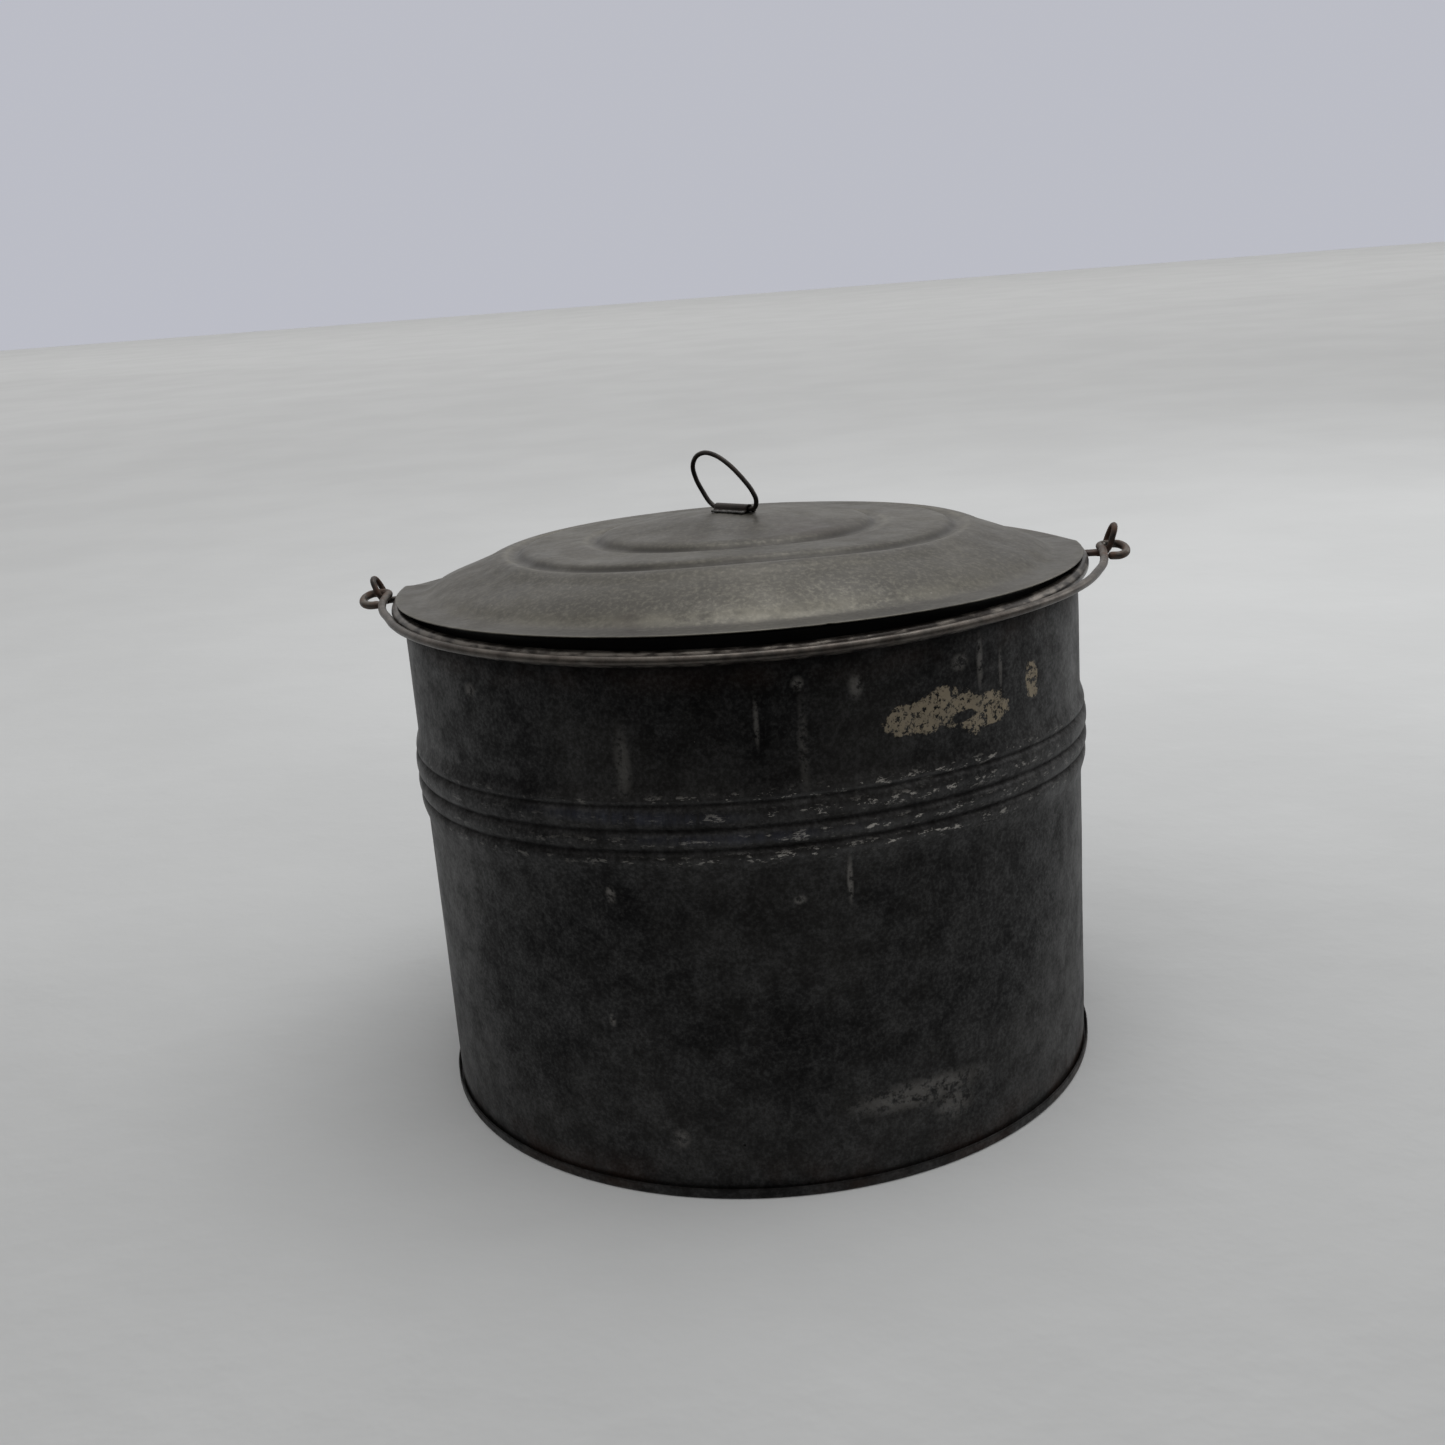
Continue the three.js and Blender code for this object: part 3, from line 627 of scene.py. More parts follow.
# The swaged band at the front: how far it stands out, and height. Its height sinks towards the sides.
RIBS = np.array([[0, 113], [0, 115], [0.15, 117.2], [0.6, 119.6], [1.3, 122], [1.75, 124.2], [1.6, 125.9],
                 [0.75, 127.3], [1.75, 128.9], [2.15, 130.9], [1.85, 132.9], [0.85, 134.4], [1.85, 136.1],
                 [2.15, 138.8], [1.75, 141.3], [0.75, 142.9], [1.5, 144.3], [1.2, 146], [0.5, 148.2],
                 [0.1, 150], [0, 152]]) * MM
RIB_SINK = 5.0 * MM  # how much lower the ribs are at the sides
RIB_SINK_BEARING = 10
RIB_CRESTS = (124.4, 131.0, 138.6, 144.6)
RIB_CREASES = (127.3, 134.4, 142.9)
RUBBED_BEARING = 18
WALL_TOP = 188.4 * MM
SEAM_BEARINGS = (-90, 90)
SEAM_SPANS = {"lower": (8, 110), "upper": (150, 186)}
# Shallow dents: bearing, height, width, height of the dent and its depth.
DENTS = ((-38, 60, 30, 26, 0.5), (24, 88, 26, 20, 0.35), (150, 70, 34, 28, 0.9),
         (-140, 160, 24, 10, 0.6), (62, 40, 22, 24, 0.5), (-8, 164, 26, 9, 0.3))
MOUTH_SINK = 6.0 * MM
MOUTH_SINK_START = 3 * MM
MOUTH_SINK_LENGTH = 34 * MM
MOUTH_SINK_LESS = 0.22  # the part of the depth that is missing at the right ear
EAR_DISTANCE = 128 * MM


def sunk_at(x, y):
    """How far the bent mouth has sunk behind the ears: a depth, less to the right, times 1 - exp(-distance
    behind the start / the sink's length)."""
    depth = MOUTH_SINK * (1 - MOUTH_SINK_LESS * x / EAR_DISTANCE)
    return depth * (1 - np.exp(-np.maximum(y - MOUTH_SINK_START, 0) / MOUTH_SINK_LENGTH))


def wall_line(sizes):
    """The wall's middle line from the foot up: straight, over the swaged ribs, straight, and round the rim wire
    from inside to outside."""
    ribs = spline(RIBS, 66) + [sizes.wall_radius, 0]
    start = (sizes.wall_radius, 0.9 * MM)
    neck = (sizes.wall_radius, sizes.roll_height - 3.4 * MM)
    curl = arc((sizes.roll_centre, sizes.roll_height), sizes.roll_radius, 205, -90, 24)
    return np.concatenate([straight(start, ribs[0], 15), ribs[:-1], straight(ribs[-1], neck, 7), [neck], curl])


def wall_marks(height, bearings, outer):
    """The rubbed crests, most at the front right, the creases and a band under the rim, darkened by grime and
    painted shade, and the rim, as bell curves and steps of the height on the outer skin."""
    z = height / MM
    rubbed = 0.15 + 0.85 * bump_at(bearings, np.radians(RUBBED_BEARING), np.radians(25))
    wear_and_highlight = outer * sum(bump_at(z, crest, 1.5) for crest in RIB_CRESTS) * rubbed
    # The second mark is grime and painted shade, in the creases and in a band just under the rim.
    grime_and_shade = outer * sum(bump_at(z, crease, 0.9) for crease in RIB_CREASES) + outer * bump_at(z, 186.5, 2.5)
    return {"wear_and_highlight": np.clip(wear_and_highlight, 0, 1), "grime_and_shade": np.clip(grime_and_shade, 0, 1), "rim": step_at(z, 187.8, 188.6)}


def make_wall(sizes, colours):
    """The wall as one turned section. The radius wanders by soft waves and shallow dents between the foot and
    the rim, and drops into a narrow groove along each side seam. The ribs sink towards the sides by a cosine of
    twice the bearing, and the mouth sinks behind the ears."""
    section = sheet_section(wall_line(sizes), sizes.sheet)
    bearings = round_bearings(405, SEAM_BEARINGS, np.array([0.15, 0.4, 0.8, 3.0, 3.6]) * MM / ROUND)
    radius, height = section[:, 0, None], section[:, 1, None]
    free = step_at(height, 6 * MM, 20 * MM) * step_at(height, 188 * MM, 172 * MM)
    wander = waves(bearings, height, 4, 6, 0.05) + 0.35 * waves(bearings, height, 9, 14, 0.02)
    dents = 0
    for bearing, tall_at, wide, tall, depth in DENTS:
        off = np.angle(np.exp(1j * (bearings - np.radians(bearing)))) * ROUND / MM
        dents = dents + depth * MM * bump_at(off, 0, wide / 2) * bump_at(height / MM, tall_at, tall / 2)
    groove = 0
    for seam in SEAM_BEARINGS:
        off = (bearings - np.radians(seam)) * ROUND / MM
        lap = step_at(off, 0, 0.4) - step_at(off, 3.2, 3.8)
        groove = groove + 0.3 * MM * bump_at(off, 0, 0.35) + 0.12 * MM * lap
    groove = groove * step_at(height, 187.5 * MM, 186 * MM)
    points = turned(section, bearings)
    points[..., :2] *= (1 + (free * (sizes.dents * wander - dents) - groove) / radius)[..., None]
    rib_sink = RIB_SINK * (1 - np.cos(2 * (bearings - np.radians(RIB_SINK_BEARING)))) / 2
    points[..., 2] -= rib_sink * step_at(height, 70 * MM, 112 * MM) * step_at(height, 186 * MM, 153 * MM)
    points[..., 2] -= sunk_at(points[..., 0], points[..., 1]) * step_at(height, 150 * MM, WALL_TOP)
    outer = (np.arange(len(section)) >= len(section) // 2)[:, None]
    wall = piece_from("pail_wall", points, tin_of(colours), closed=True,
                      marks=wall_marks(height, bearings, outer))
    settle(wall, "pail", "body_tin", "body_front_sheet", "body_back_sheet")


def make_rim_wire(sizes, colours):
    """The rim's core wire: a circle of wire, sunk with the mouth."""
    x, y = (sizes.roll_centre * wave(straight(0, 2 * np.pi, 200)) for wave in (np.cos, np.sin))
    path = np.stack([x, y, sizes.roll_height - sunk_at(x, y)], axis=1)
    core = piece_from("rim_core_wire", tube(path, sizes.rim_wire, (0, 0, 1), 12, closed=True),
                      dark_wire_of(colours), closed=True)
    settle(core, "pail", "rim_steel", "rim_wire")


def make_seams(sizes, colours):
    """The folded locks of the side seams inside the wall: a flat bar with a rounded section, whose half width
    and half depth are powers of the cosine and the sine of the turn round it, thinner at both ends."""
    inside = sizes.wall_radius - sizes.sheet / 2 - 0.75 * MM
    turn = straight(0, 2 * np.pi, 32)
    flat = np.abs(np.cos(turn)) ** 0.35 * np.sign(np.cos(turn)) * 3.0
    deep = np.abs(np.sin(turn)) ** 0.5 * np.sign(np.sin(turn)) * 0.42
    for side, sign in (("right", 1), ("left", -1)):
        for part, (low, high) in SEAM_SPANS.items():
            along = np.linspace(low, high, 60)[:, None]
            ends = np.clip(np.minimum(along - low, high - along) / 1.2, 0.25, 1)
            ripple = 1 + 0.04 * np.sin(along * 0.9)
            out = sign * (inside / MM + deep * ends * ripple)
            rings = np.stack(np.broadcast_arrays(out, flat * ripple, along), axis=2) * MM
            fold = piece_from(f"seam_fold_{side}_{part}", rings, solder_of(colours))
            settle(fold, "pail", "solder", f"seam_lock_{side}_{part}")


# The bottom's folded edge and the fillet of solder inside it: radius and height.
BOTTOM_FOLD = ((119, 3.6), (122, 3.6), (124.2, 3.3), (125.1, 2.3), (125.35, 1.2), (125.6, 0.5), (126.1, 0.3),
               (126.8, 0.3), (127.5, 0.3), (127.95, 0.5), (128.1, 1.0), (128.1, 2.4), (128.1, 3.7))
BOTTOM_FILLET = ((125.75, 4.3), (125.7, 6.0), (125.2, 5.5), (124.4, 4.9), (123.2, 4.45), (122.9, 4.25),
                 (124.3, 4.2))


def make_bottom(sizes, colours):
    """The bottom: a flat sheet with faint waves, which drops near the wall and folds up round its lower edge,
    and a ring of solder where it meets the wall."""
    flat = straight((1.0, 3.6), (119, 3.6), 22)
    line = np.concatenate([flat, spline(BOTTOM_FOLD, 46)]) * MM
    line[:, 1] = np.maximum(line[:, 1], sizes.sheet / 2 + FOOT)
    section = sheet_section(line, sizes.sheet, closed=False)
    bearings = round_bearings(360)
    points = turned(section, bearings)
    radius = section[:, 0, None]
    inner = step_at(radius, 117 * MM, 104 * MM)
    pressed_ring = 0.5 * MM * bump_at(radius, 98 * MM, 2.2 * MM)
    points[..., 2] += inner * (0.25 * MM * waves(bearings, radius, 21, 4, 0.03) - pressed_ring)
    # Grime and painted shade in the crease just above the bottom's folded edge.
    foot_grime_and_shade = bump_at(section[:, 1, None] / MM, 3.9, 0.5) * (radius > 127.6 * MM)
    marks = {"wear_and_highlight": 0, "grime_and_shade": foot_grime_and_shade, "rim": 0}
    bottom = piece_from("pail_bottom", points, tin_of(colours), marks=marks)
    settle(bottom, "pail", "body_tin", "bottom_disc")
    rings = turned(spline(np.array(BOTTOM_FILLET) * MM, 14, closed=True), bearings)
    rings[..., 2] = np.maximum(rings[..., 2] + 0.12 * MM * waves(bearings, 0, 5, 30, 1), 4.15 * MM)
    solder = piece_from("bottom_solder_fillet", rings, solder_of(colours), closed=True)
    settle(solder, "pail", "solder", "bottom_solder")


# ---- Ears and bail ----

# The hand-bent ears: side, distance of the wire from the pail's axis at the hinge line, outward lean in
# degrees, height of the loop above the hinge line, and how far the bail stands off there.
EARS = {"right": (1, 140.2, 20, 7, 3.3), "left": (-1, 138, 23, 5.6, -1.2)}
BAIL_LIE = 191.7  # height of the bail round the front
BAIL_FLARE = 2.6  # how much wider its arc is at the right
BAIL_REACH = 72  # bearing at which the arc ends
EYE_DROP = 13  # slope of the eyes in degrees
# The bail's open eye: out from the pail and forwards from the hinge line.
EYE = ((3.7, 0.6), (5.4, 2.8), (5.8, 6), (4.8, 9), (2.4, 10.7), (-0.4, 10.6))
# The ears' solder: distance from the pail's axis and height, and half its depth, width and thickness.
EAR_SOLDER = (130.9, 187.9)
EAR_SOLDER_HALF = (1.9, 4.5, 0.7)


def ear_path(ear, hinge):
    """One ear's wire: out from the rim, apart round the bail, and up to a leaning loop."""
    sign, distance, lean, top, _ = ear
    slope = np.tan(np.radians(lean))
    half = [(131.5, 1.27, hinge - 3), (135.2, 1.27, hinge - 3), (distance - 2, 2.27, hinge - 3)]
    half += [(distance + slope * rise, y, hinge + rise) for y, rise in ((4, -0.4), (3.72, top * 0.5),
                                                                       (2.4, top * 0.88))]
    peak = [(distance + slope * top, 0, hinge + top)]
    back = [(x, -y, z) for x, y, z in reversed(half)]
    return spline(half + peak + back, 90) * [sign, 1, 1] * MM


def bail_path(sizes):
    """The bail's middle line: an arc round the front of the rim, wider at the right, and at each side a bend
    out to the hinge line, through the ear, and forwards and down into an open eye."""
    hinge = sizes.hinge_height / MM
    drop = np.tan(np.radians(EYE_DROP))
    ends = {}
    for name, (sign, distance, _, _, flare) in EARS.items():
        path = [(131.3 + flare * 0.5, -30, 191.8), (distance - 4.1 - flare * 0.1, -16, 192.2),
                (distance - 3.4, -7.5, 192.7), (distance - 3.3, -2.4, hinge), (distance - 1.7, -0.4, hinge),
                (distance + 1, 0, hinge)]
        path += [(distance + out, -forwards, hinge - forwards * drop) for out, forwards in EYE]
        ends[name] = np.array(path) * [sign, 1, 1]
    bearings = np.radians(np.linspace(-BAIL_REACH, BAIL_REACH, 25))
    radius = sizes.bail_radius / MM + BAIL_FLARE * step_at(bearings, np.radians(30), np.radians(BAIL_REACH))
    front = np.stack([radius * np.sin(bearings), -radius * np.cos(bearings), 0 * bearings + BAIL_LIE], axis=1)
    return spline(np.concatenate([ends["left"][::-1], front, ends["right"]]), 760) * MM


def make_ears(sizes, colours):
    """Each ear is a wire along its path, and the lump of solder under its neck is a flattened round grid."""
    for name, ear in EARS.items():
        sign = ear[0]
        path = ear_path(ear, sizes.hinge_height / MM)
        loop = piece_from(f"ear_loop_{name}", tube(path, sizes.ear_wire, (0.5 * sign, 0, -0.87), 18),
                          dark_wire_of(colours))
        settle(loop, "pail", "dark_wire", f"ear_{name}")
        up = np.radians(np.linspace(4, 176, 24))[:, None]
        turn = straight(0, 2 * np.pi, 40)[None, :]
        lumpy = 1 + 0.10 * waves(turn, np.cos(up), 31 + sign, 5, 0.4)
        round_out = np.sin(up) * lumpy
        deep, wide, thick = EAR_SOLDER_HALF
        out = sign * (EAR_SOLDER[0] + deep * round_out * np.cos(turn))
        rings = np.stack([out, wide * round_out * np.sin(turn), EAR_SOLDER[1] + thick * np.cos(up) + 0 * turn],
                         axis=2) * MM
        lump = piece_from(f"ear_solder_lump_{name}", rings, solder_of(colours))
        settle(lump, "pail", "solder", f"ear_solder_{name}")


def make_bail(sizes, colours):
    """The bail is a wire along its path with a faintly uneven thickness."""
    path = bail_path(sizes)
    t = np.linspace(0, 1, len(path))
    radii = sizes.bail_wire * (1 + 0.012 * np.sin(t * 171) + 0.01 * np.sin(t * 97 + 1))
    bail = piece_from("bail_wire_bent", tube(path, radii, (0, 0, 1)), bail_wire_of(colours))
    settle(bail, "bail", "bail_wire", "bail")


# ---- Lid ----

LID_FACE = np.array([[0, 20.4], [14, 19.9], [26, 18.8], [36, 17.5], [44, 16.6], [47.5, 16.2], [50, 15.2],
                     [52.4, 13.4], [54.3, 13.0], [56.3, 13.5], [58.3, 13.85], [62, 13.7], [70, 13.3],
                     [77.8, 13.1], [79.8, 12.7], [82, 11.1], [84, 10.6], [86.6, 11.4], [88.8, 11.6],
                     [91.5, 10.9], [96, 9.0], [102, 7.2], [108, 5.2], [113, 3.0], [116, 1.2], [118.5, 0.2],
                     [121, 0.0], [125, 0], [129, 0]]) * MM
LID_RADIUS, CROWN = LID_FACE[-1, 0], LID_FACE[0, 1]
LID_NICK_BEARING = 14
SKIRT_BEAD = np.array([[121.4, -1.75], [122.3, -1.7], [122.95, -2.1], [123.15, -3.0], [123.0, -3.5],
                       [122.2, -2.6]]) * MM


def bent(points, sizes):
    """The lid's bend: height less the slope times y, but behind the middle the flange has no slope. The face
    also bulges at the front: a bell curve of the bearing, between the crown and the shoulder. The back of the
    flange follows the sunken rim."""
    x, y = points[..., 0], points[..., 1]
    radius = np.hypot(x, y)
    level = (y > 0) * step_at(radius, 104 * MM, 118 * MM)
    ring = step_at(radius, 40 * MM, 80 * MM) * (1 - step_at(radius, 96 * MM, 124 * MM))
    bulge = sizes.bulge * bump_at(np.arctan2(x, -y), np.radians(5), np.radians(38)) * ring
    sunk = sunk_at(x, y) * step_at(radius, 92 * MM, 119 * MM)
    points[..., 2] += sizes.height - sizes.bend * y * (1 - level) + bulge - sunk
    return points


def make_lid_face(sizes, colours):
    """The pressed lid as a turned section that is then bent, with soft waves and a small nick in its edge."""
    face = spline(LID_FACE, 130)[1:]
    section = sheet_section(face - [0, sizes.sheet / 2], sizes.sheet, closed=False)
    bearings = round_bearings(360, (LID_NICK_BEARING,), np.array([0.4, 0.8, 1.2, 1.8]) * MM / LID_RADIUS)
    points = turned(section, bearings)
    radius = section[:, 0, None]
    front = np.clip(np.cos(bearings), 0, 1)
    spread = step_at(radius, 20 * MM, 60 * MM)
    points[..., 2] += spread * (0.10 + 0.22 * front) * MM * waves(bearings, radius, 12, 7, 0.03)
    nick = 0.9 * MM * bump_at((bearings - np.radians(LID_NICK_BEARING)) * LID_RADIUS, 0, 1.1 * MM)
    edge = step_at(radius, 126 * MM, 129 * MM)
    points[..., :2] *= (1 - edge * nick / radius)[..., None]
    bent(points, sizes)
    r = radius / MM
    # Dust and painted highlights on the front of the shoulder, on the flange's edge and on the ring crests.
    wear_and_highlight = 0.6 * bump_at(r, 115.5, 3.2) * front + 0.8 * step_at(r, 127.8, 128.9)
    wear_and_highlight = wear_and_highlight + 0.75 * bump_at(r, 87, 1.2) + 0.6 * bump_at(r, 57, 1.1)
    # Dirt and painted shade in the valleys of the pressed rings and on the flange.
    grime_and_shade = 0.95 * bump_at(r, 82, 1.5) + 0.95 * bump_at(r, 52, 1.3) + 0.3 * step_at(r, 118, 119.5)
    marks = {"wear_and_highlight": np.clip(wear_and_highlight, 0, 1), "grime_and_shade": grime_and_shade, "spread": radius}
    lid = piece_from("lid_face", points, lid_tin_of(colours), marks=marks)
    settle(lid, "lid", "lid_tin", "lid_cover")


def make_lid_skirt(sizes, colours):
    """The skirt: a narrow flange under the lid that turns down into a plain hoop, and its bead of solder."""
    under = -sizes.sheet - 0.3 * MM - sizes.sheet / 2
    radius = sizes.skirt_radius
    line = np.concatenate([
        straight((119.5 * MM, under), (radius - 1.2 * MM, under), 4),
        arc((radius - 1.2 * MM, under - 1.2 * MM), 1.2 * MM, 90, 0, 7),
        np.linspace((radius, under - 2.4 * MM), (radius, -sizes.skirt_depth), 9)])
    bearings = round_bearings(300)
    rings = turned(sheet_section(line, sizes.sheet), bearings)
    # The skirt is painted black as shade, for the dark gap under the lid: its mark for grime and shade is 1.6.
    marks = {"wear_and_highlight": 0, "grime_and_shade": 1.6, "spread": radius}
    skirt = piece_from("lid_skirt", bent(rings, sizes), lid_tin_of(colours), closed=True, marks=marks)
    settle(skirt, "lid", "lid_tin", "lid_collar")
    rings = turned(spline(SKIRT_BEAD, 14, closed=True), bearings)
    rings[..., 2] -= 0.1 * MM * (1 + waves(bearings, 0, 8, 34, 1))
    solder = piece_from("skirt_solder_bead", bent(rings, sizes), solder_of(colours), closed=True)
    settle(solder, "lid", "solder", "collar_solder")


# ---- Ring pull ----

RING_LOOP = np.array([[9.2, 0], [11.8, 0.9], [13.2, 3.8], [12.2, 7.4], [9.2, 12.1], [3.2, 18.2], [-2.6, 21.3],
                      [-7.6, 22.1], [-12.8, 20.3], [-15.8, 16.4], [-15.9, 11.6], [-14.2, 6.2], [-11.6, 1.6],
                      [-9.2, 0], [-4, 0], [0, 0], [4, 0]]) * MM


def on_lid(points, lid, sizes):
    """Points of the pull's own frame, with x along the bar and z up, turned and set on the bent lid's crown."""
    turn, tilt = sizes.turn, -lid.bend
    spin = np.array([[np.cos(turn), -np.sin(turn), 0], [np.sin(turn), np.cos(turn), 0], [0, 0, 1]])
    tip = np.array([[1, 0, 0], [0, np.cos(tilt), -np.sin(tilt)], [0, np.sin(tilt), np.cos(tilt)]])
    return points @ (tip @ spin).T + [0, 0, lid.height + CROWN + sizes.bar_height]


def make_ring(lid, sizes, colours):
    """The ring: a closed wire along the hand-bent loop and its bar, leaning back about the bar."""
    flat = spline(RING_LOOP, 150, closed=True)
    lean = sizes.lean
    path = np.stack([flat[:, 0], -flat[:, 1] * np.sin(lean), flat[:, 1] * np.cos(lean)], axis=1)
    wobble = 0.15 * MM * np.sin(np.linspace(0, 6 * np.pi, len(path), endpoint=False))
    path[:, 1] += wobble * step_at(flat[:, 1], 2 * MM, 8 * MM)
    axis = on_lid(np.array([[0, 1.0, 0]]), lid, sizes)[0] - on_lid(np.zeros((1, 3)), lid, sizes)[0]
    rings = tube(on_lid(path, lid, sizes), sizes.wire, axis, 16, closed=True)
    ring = piece_from("pull_ring", rings, dark_wire_of(colours), closed=True)
    settle(ring, "lid_ring", "dark_wire", "ring_handle")


# The strap: radius of its arch, and distance of its edges and its solder from the bar.
ARCH = 1.5
FOOT_END = 2.5
STRAP_BEAD = 3.1


def make_strap(lid, sizes, colours):
    """The strap: a strip of tin with flat feet and an arch over the bar, as long rectangles along the bar that
    are carried over the arch, cut a little askew at its ends, and a lumpy bead of solder along each foot."""
    feet = -sizes.bar_height / MM + 0.55
    foot = np.array([(ARCH + 0.02, feet + 0.45), (ARCH + 0.25, feet + 0.12),
                     *np.linspace((ARCH + 0.5, feet), (FOOT_END, feet), 3)])
    line = np.concatenate([foot[::-1] * [-1, 1], arc((0, 0), ARCH, 180, 0, 17), foot])
    across = np.gradient(line, axis=0)
    across = 0.25 * np.stack([across[:, 1], -across[:, 0]], axis=1) / np.hypot(*across.T)[:, None]
    half = sizes.strap_length / MM / 2
    along = np.linspace(-half, half, 21)
    lengthwise = np.concatenate([along, along[::-1]])
    skin = np.repeat([1, -1], len(along))[None, :, None]
    rings = line[:, None, :] + skin * across[:, None, :]
    lengthwise = lengthwise * (1 + 0.012 * rings[..., 0] * np.sign(lengthwise))
    rings = np.concatenate([lengthwise[..., None], rings], axis=2) * MM
    strap = piece_from("pull_strap", on_lid(rings, lid, sizes), dark_wire_of(colours))
    settle(strap, "lid", "dark_wire", "ring_strap")
    for side, sign in (("front", -1), ("back", 1)):
        path = np.linspace((-half + 0.5, 0, 0), (half - 0.5, 0, 0), 60)
        path[:, 1:] = (sign * STRAP_BEAD, 0.38 - sizes.bar_height / MM)
        swell = 0.55 * (1 + 0.15 * np.sin(path[:, 0] * 1.9) + 0.1 * np.sin(path[:, 0] * 4.3 + sign))
        rings = tube(path, swell, (0, 0, 1), 14)
        rings[..., 1] += 0.5 * (rings[..., 1] - sign * STRAP_BEAD)
        bead = piece_from(f"pull_solder_{side}", on_lid(rings * MM, lid, sizes), solder_of(colours))
        settle(bead, "lid", "solder", f"strap_solder_{side}")


# ---- Stage ----

FLOOR_FRONT = -0.42
# Soft lamps: place, size and power.
LAMPS = {"top_light": ((0.25, 0.25, 1.6), 1.2, 9.0), "side_light": ((1.5, 0.5, 0.9), 1.0, 5.0)}


def make_floor(colours):
    """A wide floor slab, which ends a little in front of the pail: its outline at two heights."""
    corners = [(9, FLOOR_FRONT), (9, 9), (-9, 9), (-9, FLOOR_FRONT)]
    outline = np.concatenate([straight(a, b, 12) for a, b in zip(corners, corners[1:] + corners[:1])])
    rings = np.stack([np.insert(outline, 2, height, axis=1) for height in (0, -0.02)])
    floor = piece_from("floor", rings, finish("floor_finish", lambda: floor_finish(colours)))


def make_light(stage):
    """Soft light from above and from behind, a lamp above and one at the right, and a plain pale ground behind
    the pail."""
    world = bpy.data.worlds.new("soft_room")
    bpy.context.scene.world = world
    f = Finish(world)
    parts = f.node("SeparateXYZ", {0: f.node("TexCoord", output="Generated")}).node
    above = f.level(parts.outputs["Z"], -0.05, 0.95, 0.0, 0.72)
    behind = f.level(parts.outputs["Y"], -0.5, 0.9, 0.0, 0.40)
    strength = f.math("ADD", 0.03, f.math("ADD", above, behind))
    glow = f.node("Background", {"Color": (1.0, 0.985, 0.975, 1.0), "Strength": f.times(strength, stage.light)})
    ground = f.node("Background", {"Color": (0.50, 0.51, 0.565, 1.0), "Strength": 1.0})
    seen = f.node("LightPath", output="Is Camera Ray")
    f.node("OutputWorld", {"Surface": f.node("MixShader", {0: seen, 1: glow, 2: ground})})
    for name, (place, size, watts) in LAMPS.items():
        lamp = bpy.data.lights.new(name, "AREA")
        lamp.shape = "DISK"
        lamp.size = size
        lamp.energy = watts * stage.light
        made = bpy.data.objects.new(name, lamp)
        towards = Vector(place).to_track_quat("Z", "Y").to_matrix().to_4x4()
        made.matrix_world = Matrix.Translation(place) @ towards
        bpy.context.scene.collection.objects.link(made)


def make_camera(stage):
    """The camera stands at the distance, height and bearing, looks at the axis less its pan, and rolls."""
    around, pan, tilt, roll = stage.camera_bearing, stage.pan, stage.tilt, stage.roll
    forward = np.array([np.sin(pan) * np.cos(tilt), np.cos(pan) * np.cos(tilt), -np.sin(tilt)])
    right = np.array([np.cos(pan), -np.sin(pan), 0])
    up = np.cross(right, forward)
    rolled_right = np.cos(roll) * right + np.sin(roll) * up
    rolled_up = np.cos(roll) * up - np.sin(roll) * right
    turn = np.array([[np.cos(around), -np.sin(around), 0], [np.sin(around), np.cos(around), 0], [0, 0, 1]])
    axes = turn @ np.stack([rolled_right, rolled_up, -forward], axis=1)
    place = turn @ np.array([0, -stage.camera_distance, stage.camera_height])
    data = bpy.data.cameras.new("camera")
    data.sensor_width = 36
    data.lens = stage.lens
    data.clip_start = 0.01
    camera = bpy.data.objects.new("camera", data)
    camera.matrix_world = Matrix.Translation(place) @ Matrix(axes.tolist()).to_4x4()
    bpy.context.scene.collection.objects.link(camera)
    bpy.context.scene.camera = camera


# ---- Operators, panel and running ----

class PAIL_OT_body(bpy.types.Operator):
    """Make the ribbed wall with its rolled rim, the rim wire and the side seams"""
    bl_idname = "pail.body"
    bl_label = "Body"

    def execute(self, context):
        scene = context.scene
        make_wall(scene.pail_body, scene.pail_colours)
        make_rim_wire(scene.pail_body, scene.pail_colours)
        make_seams(scene.pail_body, scene.pail_colours)
        return {"FINISHED"}


class PAIL_OT_bottom(bpy.types.Operator):
    """Make the folded bottom and its fillet of solder"""
    bl_idname = "pail.bottom"
    bl_label = "Bottom"

    def execute(self, context):
        make_bottom(context.scene.pail_body, context.scene.pail_colours)
        return {"FINISHED"}


class PAIL_OT_ears(bpy.types.Operator):
    """Make both wire ears and their solder"""
    bl_idname = "pail.ears"
    bl_label = "Ears"

    def execute(self, context):
        make_ears(context.scene.pail_wires, context.scene.pail_colours)
        return {"FINISHED"}


class PAIL_OT_bail(bpy.types.Operator):
    """Make the wire bail"""
    bl_idname = "pail.bail"
    bl_label = "Bail"

    def execute(self, context):
        make_bail(context.scene.pail_wires, context.scene.pail_colours)
        return {"FINISHED"}


class PAIL_OT_lid(bpy.types.Operator):
    """Make the pressed lid, its skirt and its solder"""
    bl_idname = "pail.lid"
    bl_label = "Lid"

    def execute(self, context):
        make_lid_face(context.scene.pail_lid, context.scene.pail_colours)
        make_lid_skirt(context.scene.pail_lid, context.scene.pail_colours)
        return {"FINISHED"}


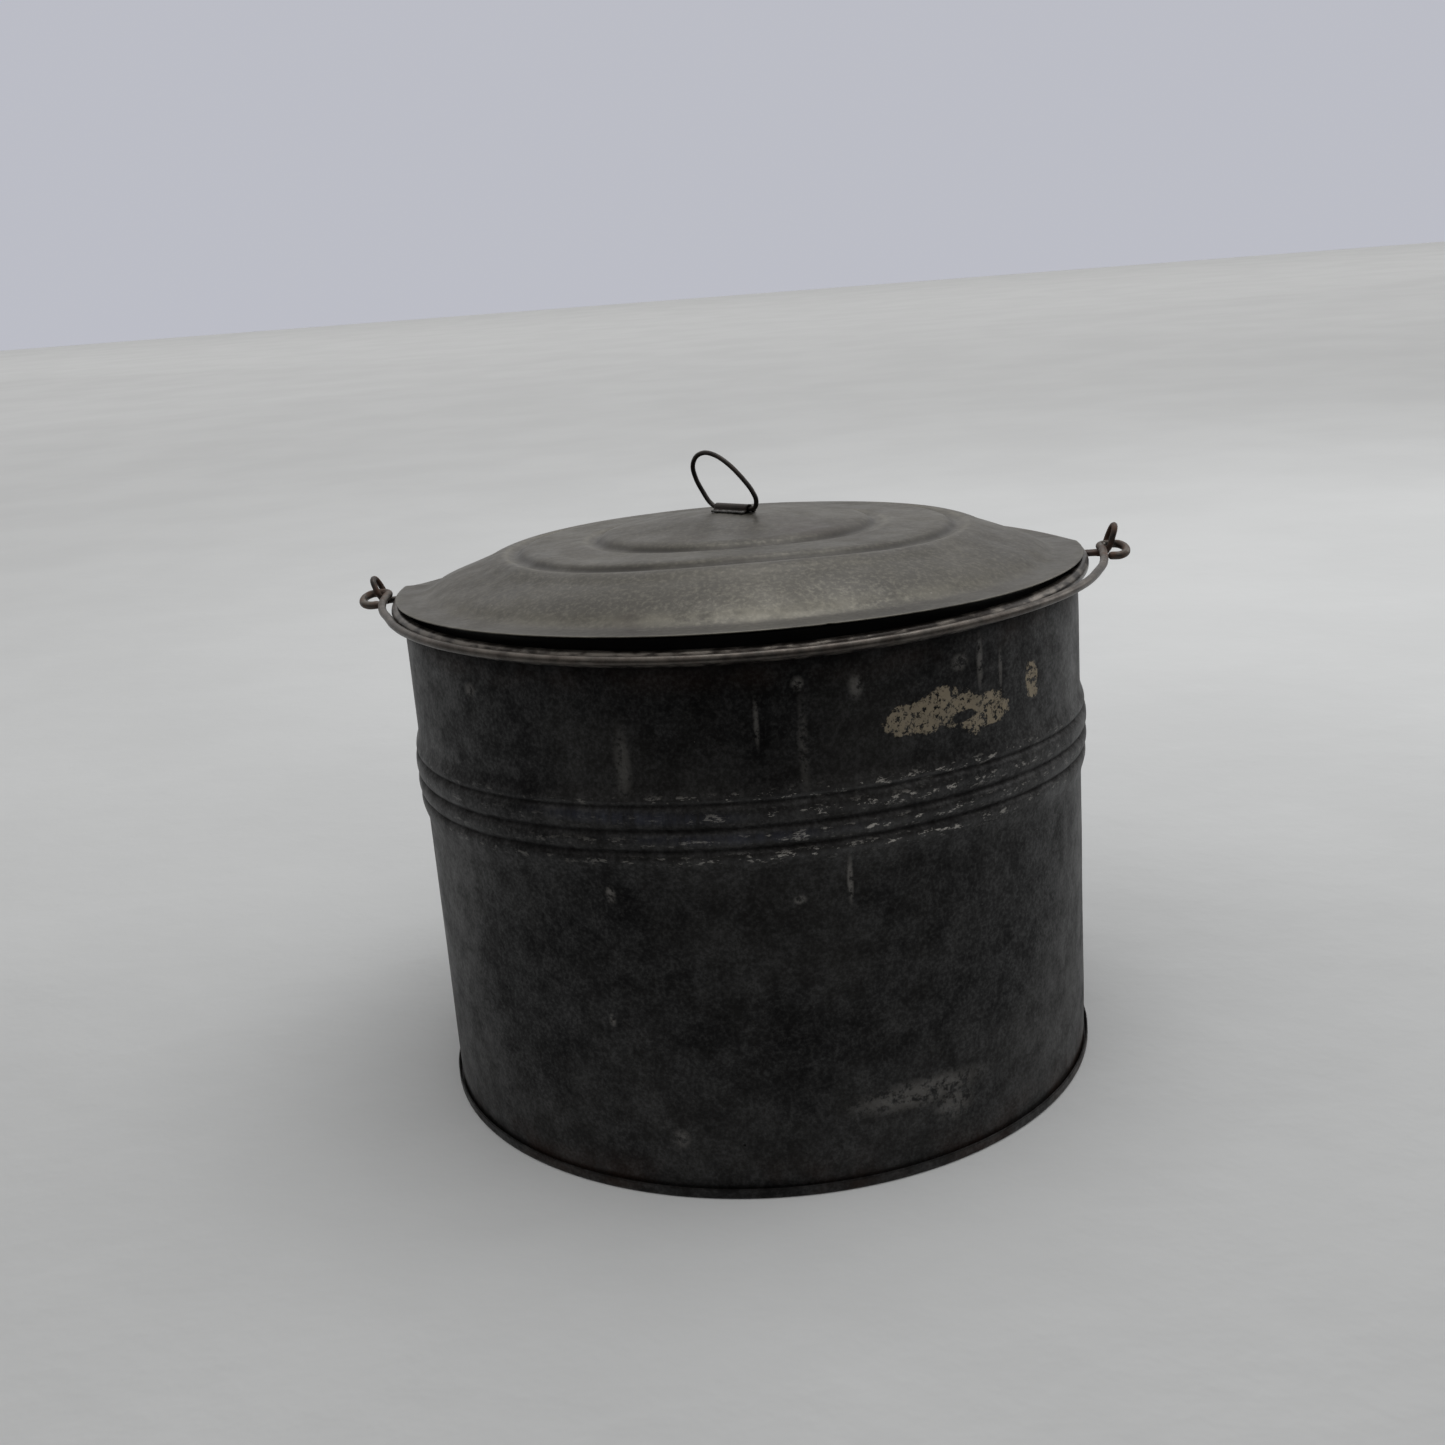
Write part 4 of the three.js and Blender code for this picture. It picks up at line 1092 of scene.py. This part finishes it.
class PAIL_OT_pull(bpy.types.Operator):
    """Make the ring pull, its strap and its solder"""
    bl_idname = "pail.pull"
    bl_label = "Ring pull"

    def execute(self, context):
        scene = context.scene
        make_strap(scene.pail_lid, scene.pail_pull, scene.pail_colours)
        make_ring(scene.pail_lid, scene.pail_pull, scene.pail_colours)
        return {"FINISHED"}


class PAIL_OT_stage(bpy.types.Operator):
    """Make the floor, the soft light and the camera"""
    bl_idname = "pail.stage"
    bl_label = "Stage"

    def execute(self, context):
        context.scene.view_settings.view_transform = "Standard"
        make_floor(context.scene.pail_colours)
        make_light(context.scene.pail_stage)
        make_camera(context.scene.pail_stage)
        return {"FINISHED"}


GROUPS = {"pail_body": PailBodySizes, "pail_wires": PailWireSizes, "pail_lid": PailLidSizes,
          "pail_pull": PailPullSizes, "pail_colours": PailColours, "pail_stage": PailStage}
STEPS = (PAIL_OT_body, PAIL_OT_bottom, PAIL_OT_ears, PAIL_OT_bail, PAIL_OT_lid, PAIL_OT_pull, PAIL_OT_stage)


class PAIL_PT_panel(bpy.types.Panel):
    """The steps in order, and the sizes and colours"""
    bl_label = "Tin Pail"
    bl_space_type = "VIEW_3D"
    bl_region_type = "UI"
    bl_category = "Tin Pail"

    def draw(self, context):
        for step in STEPS:
            self.layout.operator(step.bl_idname)
        for name in GROUPS:
            group = getattr(context.scene, name)
            box = self.layout.box()
            for key in group.bl_rna.properties.keys():
                if key not in {"rna_type", "name"}:
                    box.prop(group, key)


def register():
    for kind in (*GROUPS.values(), *STEPS, PAIL_PT_panel):
        bpy.utils.register_class(kind)
    for name, kind in GROUPS.items():
        setattr(bpy.types.Scene, name, bpy.props.PointerProperty(type=kind))


def unregister():
    for name in GROUPS:
        delattr(bpy.types.Scene, name)
    for kind in reversed((*GROUPS.values(), *STEPS, PAIL_PT_panel)):
        bpy.utils.unregister_class(kind)


def main():
    register()
    bpy.ops.pail.body()
    bpy.ops.pail.bottom()
    bpy.ops.pail.ears()
    bpy.ops.pail.bail()
    bpy.ops.pail.lid()
    bpy.ops.pail.pull()
    bpy.ops.pail.stage()


if __name__ == "__main__":
    main()
